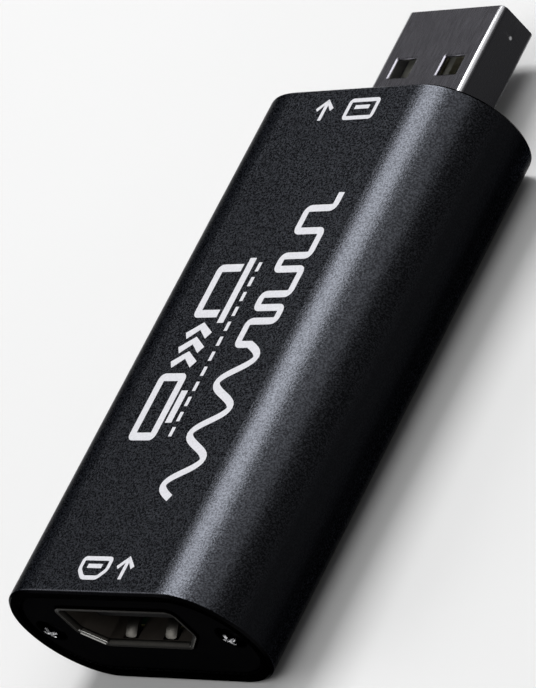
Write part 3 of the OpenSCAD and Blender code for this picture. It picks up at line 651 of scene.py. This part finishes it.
for step in range(-DIMPLE_STEPS, DIMPLE_STEPS + 1):
    offset = DIMPLE_RADIUS * step / DIMPLE_STEPS
    slice_at(bm, side_faces(), 1, dimple_y + offset)
    slice_at(bm, side_faces(), 2, plug_middle.z + offset)
for v in {v for f in side_faces() for v in f.verts}:
    away = math.hypot(v.co.y - dimple_y, v.co.z - plug_middle.z) / DIMPLE_RADIUS
    v.co.x -= math.copysign(DIMPLE_DEPTH * max(1 - away ** 2, 0), v.co.x)
bmesh.ops.recalc_face_normals(bm, faces=bm.faces)
bmesh.ops.solidify(bm, geom=bm.faces[:], thickness=PLUG_SHEET)
seam = [
    f for f in bm.faces
    if f.normal.z < -FACING and abs(f.calc_center_median().x) < SEAM_WIDTH / 2
    and f.calc_center_median().z < plug_low.z + PLUG_SHEET / 2
]
groove = bmesh.ops.extrude_face_region(bm, geom=seam)["geom"]
groove_verts = [v for v in groove if isinstance(v, bmesh.types.BMVert)]
bmesh.ops.translate(bm, verts=groove_verts, vec=(0, 0, SEAM_DEPTH))
bmesh.ops.delete(bm, geom=seam, context="FACES")
put_in_order(bm)
print("sheet of", len(bm.faces), "faces, from z", round(min(v.co.z for v in bm.verts) / MM, 3))

# %% Softened edges and solder wings
INNER = 1
rims = [e for e in sharp_edges(bm) if max(abs(v.co.x) for v in e.verts) > SEAM_WIDTH]
soften(bm, rims, PLUG_EDGE)
# Faces that look inwards take the paler inner nickel, painted light
for face in bm.faces:
    if outward_reach(face, plug_middle.z) < -PLUG_SHEET / 2:
        face.material_index = INNER
wing_y = plug_low.y + WING_SETBACK + WING_LENGTH / 2
wing_width = plug_high.x - PLUG_WIDTH / 2 + PLUG_SHEET / 2
board_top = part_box("circuit_board")[1].z
for side in (-1, 1):
    spot = (side * (plug_high.x - wing_width / 2), wing_y, board_top + PLUG_SHEET / 2)
    add_block(bm, spot, (wing_width, WING_LENGTH, PLUG_SHEET), PLUG_EDGE)

clean(bm, split=False)
plug_shell = new_piece("plug_shell", bm, [plug_nickel, inner_nickel_painted_light])
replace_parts(plug_shell, "output_plug_shell")

# %% [markdown]
# ## Marks on the flat top
# The flat top carries plain pictograms in white screen ink: a socket with an arrow that goes in, a plug
# with an arrow that goes out, a screen that leads to a computer, a row of dashes and a long signal
# trace. A mark could be painted in the sleeve's material, but as thin ink on the surface it stays crisp
# from close by. Each stroke is a curve with a round bevel that is made a mesh, pressed flat and laid on
# the sleeve.

# %% Screen-printed ink
INK_HEIGHT = 0.012 * MM


def silver_white_ink():
    """Screen ink: an even silvery white, a little thin where the grit below shows through."""
    material, tree, place = new_finish("silver_white_screen_ink")
    thin = add_node(
        tree, "ShaderNodeTexNoise", {"Vector": place, "Scale": per_metre(GRAIN_MM), "Detail": 2},
    ).outputs["Fac"]
    ink = add_node(
        tree, "ShaderNodeMix",
        {0: thin, MIX_A: colour("#B4B4B9"), MIX_B: colour("#DADADF")}, data_type="RGBA",
    ).outputs[MIX_OUT]
    uneven = add_node(
        tree, "ShaderNodeBump", {"Height": thin, "Strength": 0.4, "Distance": GRAIN_DEPTH},
    ).outputs[0]
    shader = add_node(
        tree, "ShaderNodeBsdfPrincipled",
        {"Base Color": ink, "Roughness": 0.6, "Normal": uneven, "Specular IOR Level": 0.3},
    )
    add_node(tree, "ShaderNodeOutputMaterial", {"Surface": shader.outputs[0]})
    return material


ink = silver_white_ink()
print("ink stands", round(INK_HEIGHT / MM, 3), "mm over the sleeve")

# %% Strokes of ink
INK_WELD = 0.0001 * MM


def rounded(corners, radius, closed=False, steps=6):
    """Path through these corners, each of them rounded off by a short curve."""
    path = []
    count = len(corners)
    for i, corner in enumerate(corners):
        here = Vector(corner)
        if not closed and i in (0, count - 1):
            path.append(here)
            continue
        start = here + (Vector(corners[i - 1]) - here).normalized() * radius
        end = here + (Vector(corners[(i + 1) % count]) - here).normalized() * radius
        for step in range(steps + 1):
            share = step / steps
            path.append(start * (1 - share) ** 2 + here * 2 * share * (1 - share) + end * share ** 2)
    return path


def lay_strokes(name, width, open_paths, closed_paths=()):
    """Lay ink along flat paths, given in millimetres, on the sleeve's upper face."""
    curve = bpy.data.curves.new(name, "CURVE")
    curve.dimensions = "3D"
    curve.bevel_depth = width / 2 * MM
    curve.bevel_resolution = 3
    curve.use_fill_caps = True
    for path, closed in [(p, False) for p in open_paths] + [(p, True) for p in closed_paths]:
        spline = curve.splines.new("POLY")
        spline.points.add(len(path) - 1)
        spline.use_cyclic_u = closed
        for point, place in zip(spline.points, path):
            point.co = (place[0] * MM, place[1] * MM, 0, 1)
    carrier = bpy.data.objects.new(name, curve)
    mesh = bpy.data.meshes.new_from_object(carrier)
    bpy.data.objects.remove(carrier)
    pressed = Matrix.Diagonal((1, 1, INK_HEIGHT / curve.bevel_depth, 1))
    mesh.transform(Matrix.Translation((0, 0, sleeve_high.z)) @ pressed)
    bm = bmesh.new()
    bm.from_mesh(mesh)
    bmesh.ops.remove_doubles(bm, verts=bm.verts, dist=INK_WELD)
    bmesh.ops.recalc_face_normals(bm, faces=bm.faces)
    new_piece(name, bm, [ink])


print("ink points within", round(INK_WELD / MM, 4), "mm of each other are merged")

# %% Signs at both ends
# Widths, bends and places of the marks are in millimetres
SYMBOL_LINE = 0.42
BEND = 0.3
ARROW_BARB = 0.95
INPUT_ARROW = {"x": 2.7, "tail_y": -31.3, "tip_y": -29.2}
OUTPUT_ARROW = {"x": -2.5, "tail_y": 16.2, "tip_y": 18.3}
SOCKET_SIGN = [(-2.8, -29.3), (0.6, -29.3), (0.6, -30.4), (-0.2, -31.2), (-2.0, -31.2), (-2.8, -30.4)]
SOCKET_TONGUE_SIGN = [(-2.0, -30.05), (-0.2, -30.05)]
PLUG_SIGN = [(0.5, 16.3), (3.9, 16.3), (3.9, 18.2), (0.5, 18.2)]
PLUG_TONGUE_SIGN = [(1.3, 17.45), (3.1, 17.45)]


def arrow(x, tail_y, tip_y):
    """Straight arrow along Y: its stem and its head."""
    barb_y = tip_y - ARROW_BARB
    head = [(x - ARROW_BARB, barb_y), (x, tip_y), (x + ARROW_BARB, barb_y)]
    return [[(x, tail_y), (x, tip_y)], head]


lay_strokes(
    "mark_input", SYMBOL_LINE, arrow(**INPUT_ARROW) + [SOCKET_TONGUE_SIGN],
    [rounded(SOCKET_SIGN, BEND, closed=True)],
)
lay_strokes(
    "mark_output", SYMBOL_LINE, arrow(**OUTPUT_ARROW) + [PLUG_TONGUE_SIGN],
    [rounded(PLUG_SIGN, BEND, closed=True)],
)

# %% From a screen to a computer
BOLD_LINE = 0.8
SCREEN_SIGN = [(-5.1, -17.0), (-5.1, -10.9), (-2.5, -10.9), (-2.5, -17.0)]
LID_SIGN = [(-2.3, -4.3), (-5.0, -4.3), (-5.0, 0.5), (-2.3, 0.5)]
STAND_SIGN = [(-1.4, -15.6), (-1.4, -12.3)]
KEYBOARD_SIGN = [(-1.5, -5.3), (-1.5, 1.5)]
CHEVRON_X = -3.5
CHEVRON_HALF = 1.4
CHEVRON_RISE = 1.0
CHEVRON_STARTS = (-9.6, -8.1, -6.6)

chevrons = [
    [(CHEVRON_X - CHEVRON_HALF, y), (CHEVRON_X, y + CHEVRON_RISE), (CHEVRON_X + CHEVRON_HALF, y)]
    for y in CHEVRON_STARTS
]
lay_strokes(
    "mark_screen_to_computer", BOLD_LINE, chevrons + [STAND_SIGN, KEYBOARD_SIGN, rounded(LID_SIGN, BEND)],
    [rounded(SCREEN_SIGN, BEND, closed=True)],
)

# %% Row of dashes
DASH_LINE = 0.42
DASH_X = -0.3
DASH_START = -17.0
DASH_LENGTH = 0.95
DASH_STEP = 1.55
DASH_COUNT = 12

dash_starts = [DASH_START + i * DASH_STEP for i in range(DASH_COUNT)]
lay_strokes("mark_dashes", DASH_LINE, [[(DASH_X, y), (DASH_X, y + DASH_LENGTH)] for y in dash_starts])

# %% Signal trace
TRACE_LINE = 0.72
TRACE_BEND = 0.5
TRACE_X = 3.7
TRACE_SWING = 1.6
WAVE_START = -23.2
WAVE_LENGTH = 5.2
WAVE_COUNT = 3
WAVE_STEPS = 24
PULSE_LENGTHS = [2.4, 1.4, 1.4, 2.6, 1.4, 2.6, 2.4, 1.6]

wave = []
for step in range(WAVE_COUNT * WAVE_STEPS + 1):
    turn = step / WAVE_STEPS
    swing = TRACE_SWING * math.sin(2 * math.pi * turn)
    wave.append((TRACE_X - swing, WAVE_START + turn * WAVE_LENGTH))
pulse_y = WAVE_START + WAVE_COUNT * WAVE_LENGTH
pulse_corners = [wave.pop()]
side = -1
for length in PULSE_LENGTHS:
    x = TRACE_X + side * TRACE_SWING
    pulse_corners += [(x, pulse_y), (x, pulse_y + length)]
    pulse_y += length
    side = -side
lay_strokes("mark_signal_trace", TRACE_LINE, [wave + rounded(pulse_corners, TRACE_BEND)])
print("trace ends at y", round(pulse_y, 1), "mm")

# %% [markdown]
# ## Finishes with a two-tone grain
# Most of what is left is small: screws, contacts, moulded plastic, and the parts on the board. Each of
# these finishes wanders between two tones and two degrees of gloss, over a grain of its own size. So
# one function makes them all, and each call says what the real surface is.

# %% Two-tone finish
def two_tone(name, tones, grain_mm, roughs, depth_mm=0.002, constants=None):
    """Finish whose tone, gloss and height follow one grain."""
    material, tree, place = new_finish(name)
    grain = add_node(
        tree, "ShaderNodeTexNoise", {"Vector": place, "Scale": per_metre(grain_mm), "Detail": 3},
    ).outputs["Fac"]
    spread = add_node(
        tree, "ShaderNodeMapRange", {"Value": grain, "From Min": 0.3, "From Max": 0.7},
    ).outputs[0]
    tone = add_node(
        tree, "ShaderNodeMix",
        {0: spread, MIX_A: colour(tones[0]), MIX_B: colour(tones[1])}, data_type="RGBA",
    ).outputs[MIX_OUT]
    rough = add_node(
        tree, "ShaderNodeMapRange", {"Value": spread, "To Min": roughs[0], "To Max": roughs[1]},
    ).outputs[0]
    uneven = add_node(tree, "ShaderNodeBump", {"Height": grain, "Distance": depth_mm * MM}).outputs[0]
    shader = add_node(
        tree, "ShaderNodeBsdfPrincipled",
        {"Base Color": tone, "Roughness": rough, "Normal": uneven, **(constants or {})},
    )
    add_node(tree, "ShaderNodeOutputMaterial", {"Surface": shader.outputs[0]})
    return material


METAL = {"Metallic": 1.0}
DARK_METAL = {"Metallic": 1.0, "Specular Tint": colour("#181818")}
# Steel from a hot black bath: dark, still a metal, with small hard glints
screw_black = two_tone(
    "blackened_steel", ("#060607", "#0D0D0E"), grain_mm=0.3, roughs=(0.18, 0.32), constants=DARK_METAL,
)
# The same steel in the cross, where drivers have rubbed it bare in patches
screw_worn = two_tone(
    "patchy_rubbed_steel", ("#5E5E60", "#DEDEE0"), grain_mm=0.5, roughs=(0.16, 0.3), constants=DARK_METAL,
)
# Thin gold over nickel: pale, warm, smooth and slightly cloudy
gold = two_tone(
    "gold_flash", ("#857F69", "#9D9780"), grain_mm=0.5, roughs=(0.35, 0.5), constants=METAL,
)
# Dull tin over copper
tin = two_tone(
    "matt_tin_plate", ("#9EA0A3", "#B9BBBE"), grain_mm=0.25, roughs=(0.35, 0.5), constants=METAL,
)
# Moulded nylon in its natural colour, a little milky
nylon = two_tone(
    "natural_nylon", ("#B2B2A8", "#C6C6BC"), grain_mm=1.2, roughs=(0.45, 0.6),
    constants={"Specular IOR Level": 0.4},
)
# Epoxy with black filler: matt, with a fine grit
resin = two_tone(
    "black_epoxy_resin", ("#17171A", "#242427"), grain_mm=0.2, roughs=(0.5, 0.7), depth_mm=0.004,
)
# Glass-filled nylon, dyed black: a soft gloss with a faint cloud
black_nylon = two_tone(
    "black_glass_nylon", ("#080809", "#101011"), grain_mm=0.4, roughs=(0.4, 0.55),
    constants={"Specular IOR Level": 0.04},
)
# Fired ceramic with a faint speckle
ceramic = two_tone("fired_tan_ceramic", ("#8A6A4A", "#A98A66"), grain_mm=0.3, roughs=(0.45, 0.6))
print("eight small finishes")

# %% [markdown]
# ## Screws
# Each plate is held by two small pan-head screws with a cross recess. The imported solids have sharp
# rims, so the screws are made again: a few points of the outline are spun round the axis, and a tapered
# cross is cut out of the crown. The cross starts as a grid of nine squares that loses its corners.
# Every screw stops at another angle, as real ones do.

# %% One screw, spun from its outline
HEAD_RADIUS = 1.4 * MM
HEAD_HEIGHT = 0.9 * MM
HEAD_CROWN = 0.35 * MM
HEAD_EDGE = 0.12 * MM
SHANK_RADIUS = 0.85 * MM
POINT_RADIUS = SHANK_RADIUS / 4
CROWN_STEPS = 6
TURN_STEPS = 48
SPIN_WELD = 0.001 * MM


def one_screw(length):
    """Spin one screw, with the top of its crown at the origin and its shank down."""
    ball = (HEAD_RADIUS ** 2 + HEAD_CROWN ** 2) / (2 * HEAD_CROWN)
    outline = []
    for step in range(CROWN_STEPS + 1):
        radius = HEAD_RADIUS * step / CROWN_STEPS
        outline.append((radius, 0, math.sqrt(ball ** 2 - radius ** 2) - ball))
    outline += [(HEAD_RADIUS, 0, -HEAD_HEIGHT), (SHANK_RADIUS, 0, -HEAD_HEIGHT)]
    outline += [(SHANK_RADIUS, 0, SHANK_RADIUS - length), (POINT_RADIUS, 0, -length), (0, 0, -length)]
    bm = bmesh.new()
    verts = [bm.verts.new(point) for point in outline]
    edges = [bm.edges.new(pair) for pair in zip(verts, verts[1:])]
    bmesh.ops.spin(
        bm, geom=verts + edges, cent=(0, 0, 0), axis=(0, 0, 1), angle=2 * math.pi,
        steps=TURN_STEPS, use_merge=True,
    )
    bmesh.ops.remove_doubles(bm, verts=bm.verts, dist=SPIN_WELD)
    bmesh.ops.recalc_face_normals(bm, faces=bm.faces)
    put_in_order(bm)
    soften(bm, [e for e in sharp_edges(bm) if e.verts[0].co.z > -HEAD_HEIGHT / 2], HEAD_EDGE)
    return bm


print("screw heads are", round(2 * HEAD_RADIUS / MM, 1), "mm wide")

# %% Cross that cuts the recess
CROSS_ARM = 0.9 * MM
CROSS_HALF = 0.22 * MM
CROSS_DEPTH = 0.5 * MM
CROSS_TAPER = 0.55
WORN = 1


def one_cross():
    """Tapered cross that cuts the recess of one screw."""
    bm = bmesh.new()
    bmesh.ops.create_grid(bm, x_segments=3, y_segments=3, size=1)
    # The outer points of the grid go to the ends of the arms, and the inner ones to their sides
    for v in bm.verts:
        for axis in (0, 1):
            span = CROSS_ARM if abs(v.co[axis]) > 0.5 else CROSS_HALF
            v.co[axis] = math.copysign(span, v.co[axis])
    corners = [f for f in bm.faces if min(abs(c) for c in f.calc_center_median().xy) > CROSS_HALF]
    bmesh.ops.delete(bm, geom=corners, context="FACES")
    low = bm.verts[:]
    lid = bmesh.ops.extrude_face_region(bm, geom=bm.faces[:])["geom"]
    top = [v for v in lid if isinstance(v, bmesh.types.BMVert)]
    bmesh.ops.scale(bm, vec=(CROSS_TAPER, CROSS_TAPER, 1), verts=low)
    bmesh.ops.translate(bm, vec=(0, 0, -CROSS_DEPTH), verts=low)
    bmesh.ops.translate(bm, vec=(0, 0, CROSS_DEPTH / 2), verts=top)
    bmesh.ops.recalc_face_normals(bm, faces=bm.faces)
    for face in bm.faces:
        face.material_index = WORN
    put_in_order(bm)
    return bm


print("crosses are", round(CROSS_DEPTH / MM, 2), "mm deep")

# %% Two screws in each end plate
CROSS_EDGE = 0.03 * MM


def placed_copies(name, part, places):
    """Mesh with a copy of one small shape at each place."""
    bm = bmesh.new()
    for place in places:
        copy = bpy.data.meshes.new("copy")
        part.to_mesh(copy)
        copy.transform(place)
        bm.from_mesh(copy)
        bpy.data.meshes.remove(copy)
    part.free()
    print(name, "has", len(places), "copies,", sum(not e.is_manifold for e in bm.edges), "open edges")
    return bm


def cut_out(bm, cutter, finishes):
    """Cut one mesh out of another, and give back what is left."""
    holder = to_object("uncut", bm, finishes)
    punch = to_object("punch", cutter, finishes)
    cut = holder.modifiers.new("cut", "BOOLEAN")
    cut.operation = "DIFFERENCE"
    cut.object = punch
    bpy.context.view_layer.update()
    ready = holder.evaluated_get(bpy.context.evaluated_depsgraph_get())
    left = bmesh.new()
    left.from_mesh(ready.to_mesh())
    put_in_order(left)
    ready.to_mesh_clear()
    bpy.data.objects.remove(holder)
    bpy.data.objects.remove(punch)
    return left


def plate_screws(name, node, outward, stops_deg):
    """Make the two screws of one plate, with their heads towards one end of the stick."""
    low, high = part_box(node)
    head_y = low.y if outward < 0 else high.y
    facing = Matrix.Rotation(math.radians(-90 * outward), 4, "X")
    places = []
    for side, stop in zip((-1, 1), stops_deg):
        spot = (side * (high.x - HEAD_RADIUS), head_y, (low.z + high.z) / 2)
        places.append(Matrix.Translation(spot) @ facing @ Matrix.Rotation(math.radians(stop), 4, "Z"))
    finishes = [screw_black, screw_worn]
    screws = placed_copies("screws", one_screw(high.y - low.y), places)
    crosses = placed_copies("crosses", one_cross(), places)
    screws = cut_out(screws, crosses, finishes)
    bmesh.ops.remove_doubles(screws, verts=screws.verts, dist=WELD)
    soften(screws, sharp_edges(screws, least_deg=45), CROSS_EDGE, segments=2)
    clean(screws)
    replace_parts(new_piece(name, screws, finishes), node)


plate_screws("socket_end_screws", "input_plate_screws", outward=-1, stops_deg=(-4, 7))
plate_screws("plug_end_screws", "output_plate_screws", outward=1, stops_deg=(8, 51))

# %% [markdown]
# ## Socket shell
# The socket's shell is stamped and folded from sheet, with a flared mouth and two springs in its floor
# and two in its roof. It is made here as the press makes it: six corners are drawn out into a tube, the
# bends are rounded, the mouth is flared, slots are cut round each spring, and the springs are bowed
# into the mouth. Only then does the sheet get its thickness. What a plug rubs on is brighter: the
# springs, and most of all the slanted parts of the flare, which is wear and also painted light and a
# painted highlight. The rest of the inside is scuffed and drawn paler as painted light, and the rim is
# darkened with painted shade.

# %% Sizes of the socket shell
SOCKET_WIDTH = 14 * MM
SOCKET_HEIGHT = 4.55 * MM
SOCKET_SIDE = 2.7 * MM
SOCKET_FLOOR = 9.9 * MM
SOCKET_CORNER = 0.35 * MM
SOCKET_SHEET = 0.3 * MM
LIP_FLARE = 0.22 * MM
LIP_DEPTH = 0.5 * MM
LIP_STEPS = 4
LIP_CURVE = 1.5
LIP_EDGE = 0.13 * MM
SPRING_WIDTH = 1.4 * MM
SPRING_LENGTH = 3.6 * MM
SPRING_BOW = 0.6 * MM
SPRING_SPACING = 5 * MM
SPRING_SETBACK = 0.8 * MM
SPRING_GAP = 0.25 * MM
SPRING_STEPS = 12
SPRING_EDGE = 0.06 * MM
SPRING_TIP = 0.5 * MM
LEG_THICKNESS = 0.9 * SOCKET_SHEET
LEG_LENGTH = 1.2 * MM
LEG_SETBACKS = (3.6 * MM, 8.8 * MM)
DARKENED, RUBBED_AND_LIT, SCUFFED_AND_LIT, BURNISHED_AND_HIGHLIT = range(4)

shell_low, shell_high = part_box("input_socket_shell")
mouth_y = shell_low.y
roof_z = shell_high.z - LIP_FLARE - SOCKET_SHEET
socket_z = roof_z - SOCKET_HEIGHT / 2
spring_sides = [side * SPRING_SPACING / 2 for side in (-1, 1)]
spring_front = mouth_y + SPRING_SETBACK
spring_root = spring_front + SPRING_LENGTH - SOCKET_SHEET
print("socket mouth at y", round(mouth_y / MM, 2), "mm, its middle at z", round(socket_z / MM, 3), "mm")

# %% Tube with rounded bends
half_width = SOCKET_WIDTH / 2 - SOCKET_CORNER
half_height = SOCKET_HEIGHT / 2 - SOCKET_CORNER
side_end = SOCKET_HEIGHT / 2 - SOCKET_SIDE
half_floor = SOCKET_FLOOR / 2
bend_middles = [
    Vector((half_width, half_height)), Vector((-half_width, half_height)), Vector((-half_width, side_end)),
    Vector((-half_floor, -half_height)), Vector((half_floor, -half_height)), Vector((half_width, side_end)),
]
bend_radius = SOCKET_CORNER + SOCKET_SHEET


def outward_normal(start, end):
    """Normal of one side of the mouth, which runs round to the left."""
    along = (end - start).normalized()
    return Vector((along.y, -along.x))


bm = bmesh.new()
ring = []
for i, middle in enumerate(bend_middles):
    before = outward_normal(bend_middles[i - 1], middle)
    after = outward_normal(middle, bend_middles[(i + 1) % len(bend_middles)])
    corner = middle + bend_radius * (before + after) / (1 + before.dot(after))
    ring.append(bm.verts.new((corner.x, mouth_y, socket_z + corner.y)))
ring_edges = [bm.edges.new((ring[i - 1], ring[i])) for i in range(len(ring))]
drawn = bmesh.ops.extrude_edge_only(bm, edges=ring_edges)["geom"]
drawn_verts = [v for v in drawn if isinstance(v, bmesh.types.BMVert)]
bmesh.ops.translate(bm, verts=drawn_verts, vec=(0, shell_high.y - mouth_y, 0))
bmesh.ops.recalc_face_normals(bm, faces=bm.faces)
# On an open tube the new normals can point either way
if sum(f.normal.dot(f.calc_center_median() - Vector((0, 0, socket_z))) for f in bm.faces) < 0:
    bmesh.ops.reverse_faces(bm, faces=bm.faces)
put_in_order(bm)
turns = sorted({round(math.degrees(e.calc_face_angle())) for e in bm.edges if e.is_manifold})
for turn in turns:
    bends = [e for e in bm.edges if e.is_manifold and round(math.degrees(e.calc_face_angle())) == turn]
    soften(bm, bends, bend_radius * math.tan(math.radians(turn / 2)), segments=6)
print("tube bent by", turns, "degrees at its corners")

# %% Flared mouth
for step in range(1, LIP_STEPS + 1):
    slice_at(bm, bm.faces[:], 1, mouth_y + LIP_DEPTH * step / LIP_STEPS)
bm.normal_update()
moves = []
for v in bm.verts:
    share = 1 - (v.co.y - mouth_y) / LIP_DEPTH
    if share > 0:
        outward = Vector((v.normal.x, 0, v.normal.z)).normalized()
        moves.append((v, outward * LIP_FLARE * share ** LIP_CURVE))
for v, move in moves:
    v.co += move
print("mouth flared at", len(moves), "points")

# %% Springs, cut free and bowed
slot_half = SPRING_WIDTH / 2 + SPRING_GAP


def wall_faces():
    """Faces of the roof and the floor behind the flare."""
    return [f for f in flat_faces() if f.calc_center_median().y > mouth_y + LIP_DEPTH]


for side in spring_sides:
    for offset in (-slot_half, -SPRING_WIDTH / 2, SPRING_WIDTH / 2, slot_half):
        slice_at(bm, wall_faces(), 0, side + offset)
slice_at(bm, wall_faces(), 1, spring_front - SPRING_GAP)
for step in range(SPRING_STEPS + 1):
    slice_at(bm, wall_faces(), 1, spring_front + (spring_root - spring_front) * step / SPRING_STEPS)


def part_of_slot(face):
    """Where a face lies: in a spring, in the gap round one, or elsewhere."""
    middle = face.calc_center_median()
    across = min(abs(middle.x - side) for side in spring_sides)
    beside = spring_front - SPRING_GAP < middle.y < spring_root
    if abs(face.normal.z) < SQUARE or across > slot_half or not beside:
        return "sheet"
    return "spring" if across < SPRING_WIDTH / 2 and middle.y > spring_front else "gap"


bmesh.ops.delete(bm, geom=[f for f in bm.faces if part_of_slot(f) == "gap"], context="FACES")
springs = [f for f in bm.faces if part_of_slot(f) == "spring"]
half_span = (spring_root - spring_front) / 2
bend = (half_span ** 2 + SPRING_BOW ** 2) / (2 * SPRING_BOW)
tips = [v for v in dict.fromkeys(v for f in springs for v in f.verts) if len(v.link_faces) == 1]
bmesh.ops.bevel(
    bm, geom=tips, offset=SPRING_TIP, offset_type="OFFSET", segments=5, profile=0.5,
    affect="VERTICES", material=-1,
)
springs = [f for f in bm.faces if part_of_slot(f) == "spring"]
# The springs take the rubbed nickel: wear, and painted light
for face in springs:
    face.material_index = RUBBED_AND_LIT
for v in {v for f in springs for v in f.verts}:
    along = v.co.y - spring_front - half_span
    rise = math.sqrt(bend ** 2 - along ** 2) - bend + SPRING_BOW
    v.co.z += rise if v.co.z < socket_z else -rise
print(len(springs), "faces in the springs")

# %% Thickness, softened edges and solder legs
# Share of a normal, upwards and sideways, from which a face of the flare counts as slanted
SLANT = 0.3

put_in_order(bm)
bmesh.ops.solidify(bm, geom=bm.faces[:], thickness=SOCKET_SHEET)
put_in_order(bm)
for v in bm.verts:
    v.co.y = max(v.co.y, mouth_y)
lip = [e for e in sharp_edges(bm) if all(v.co.y < mouth_y + LIP_DEPTH / LIP_STEPS for v in e.verts)]
soften(bm, lip, LIP_EDGE, segments=4)
soften(bm, sharp_edges(bm), SPRING_EDGE, segments=2)
# Rim and flare take the darkened nickel, painted shade; the slanted flare the burnished one, wear and a
# painted highlight; the rest of the inside the scuffed one, scuffing and painted light
for face in bm.faces:
    depth = face.calc_center_median().y - mouth_y
    inward = outward_reach(face, socket_z) < -SOCKET_SHEET
    slanted = face.normal.z > SLANT and abs(face.normal.x) > SLANT
    if inward and depth < LIP_DEPTH:
        face.material_index = BURNISHED_AND_HIGHLIT if slanted and depth < LIP_DEPTH / 3 else DARKENED
    elif inward and face.material_index == DARKENED:
        face.material_index = SCUFFED_AND_LIT
leg_top = socket_z + side_end + 2 * SOCKET_SHEET
for side in (-1, 1):
    for setback in LEG_SETBACKS:
        spot = (side * (SOCKET_WIDTH + SOCKET_SHEET) / 2, mouth_y + setback, (leg_top + shell_low.z) / 2)
        add_block(bm, spot, (LEG_THICKNESS, LEG_LENGTH, leg_top - shell_low.z), SPRING_EDGE)

clean(bm)
# Four tones of one nickel: painted shade on the rim, painted light on the springs and inside, and a painted
# highlight on the slants
socket_finishes = [
    nickel_plate("darkened_nickel_plate", ("#181715", "#21201E"), roughs=(0.24, 0.4), glance="#DCDCDC"),
    nickel_plate("rubbed_nickel_painted_light", ("#44423F", "#55534F"), roughs=(0.26, 0.4)),
    nickel_plate("scuffed_nickel_painted_light", ("#45403B", "#58524C"), roughs=(0.45, 0.62)),
    nickel_plate("burnished_nickel_painted_highlight", ("#A2A19E", "#B6B5B2"), roughs=(0.16, 0.28), glance="#303030"),
]
socket_shell = new_piece("socket_shell", bm, socket_finishes)
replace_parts(socket_shell, "input_socket_shell")

# %% [markdown]
# ## Board
# The board slides in the sleeve's guides and is hidden when the stick is whole. It is woven glass in
# epoxy, under a green solder mask. The mask is glossy, and copper under it shows as paler runs. The
# board's sawn edge shows the bare laminate, so the shader asks how far a point is from the two faces.

# %% Solder mask over laminate
BOARD_SKIN = 0.04 * MM
TRACK_MM = 0.9
WEAVE_MM = 0.25
WEAVE_DEPTH = 0.004 * MM
board_low, board_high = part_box("circuit_board")


def masked_laminate():
    """Glossy green mask with paler runs of copper, and bare woven laminate on the sawn edge."""
    material, tree, place = new_finish("solder_mask_on_glass_laminate")
    tracks = add_node(
        tree, "ShaderNodeTexBrick",
        {"Vector": place, "Scale": per_metre(TRACK_MM),
         "Color1": colour("#072E1B"), "Color2": colour("#093620"), "Mortar": colour("#052316"),
         "Mortar Size": 0.08, "Brick Width": 6.0, "Row Height": 0.5},
    ).outputs["Color"]
    reach = reach_from(tree, place, (board_low + board_high) / 2)[1]
    face_z = (board_high.z - board_low.z) / 2
    masked = add_node(
        tree, "ShaderNodeMapRange",
        {"Value": reach["Z"], "From Min": face_z - 2 * BOARD_SKIN, "From Max": face_z - BOARD_SKIN},
    ).outputs[0]
    weave = add_node(
        tree, "ShaderNodeTexNoise", {"Vector": place, "Scale": per_metre(WEAVE_MM), "Detail": 2},
    ).outputs["Fac"]
    laminate = add_node(
        tree, "ShaderNodeMix",
        {0: weave, MIX_A: colour("#8F8A56"), MIX_B: colour("#B3AD78")}, data_type="RGBA",
    ).outputs[MIX_OUT]
    skin = add_node(
        tree, "ShaderNodeMix", {0: masked, MIX_A: laminate, MIX_B: tracks}, data_type="RGBA",
    ).outputs[MIX_OUT]
    rough = add_node(
        tree, "ShaderNodeMapRange", {"Value": weave, "To Min": 0.25, "To Max": 0.45},
    ).outputs[0]
    threads = add_node(tree, "ShaderNodeBump", {"Height": weave, "Distance": WEAVE_DEPTH}).outputs[0]
    shader = add_node(
        tree, "ShaderNodeBsdfPrincipled", {"Base Color": skin, "Roughness": rough, "Normal": threads},
    )
    add_node(tree, "ShaderNodeOutputMaterial", {"Surface": shader.outputs[0]})
    return material


nodes["circuit_board"].material_slots[0].material = masked_laminate()
print("board finished")

# %% [markdown]
# ## Inserts, contacts and parts on the board
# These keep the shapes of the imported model, which are right, and only get their finishes. The socket's
# insert is black nylon, and the plug's is natural nylon.

# %% Finishes of the small parts
SMALL_PARTS = {
    "input_socket_insert": black_nylon,
    "output_plug_insert": nylon,
    "input_socket_upper_contacts": gold,
    "input_socket_lower_contacts": gold,
    "output_plug_contacts": gold,
    "capture_chip": resin,
    "capture_chip_leads": tin,
    "memory_chip": resin,
    "memory_chip_leads": tin,
    "regulators": resin,
    "regulator_leads": tin,
    "crystal_base": ceramic,
    "crystal_lid": tin,
    "capacitors": ceramic,
    "capacitor_ends": tin,
    "resistors": resin,
    "resistor_ends": tin,
}
for name, finish in SMALL_PARTS.items():
    nodes[name].material_slots[0].material = finish
print(len(SMALL_PARTS), "small parts finished")
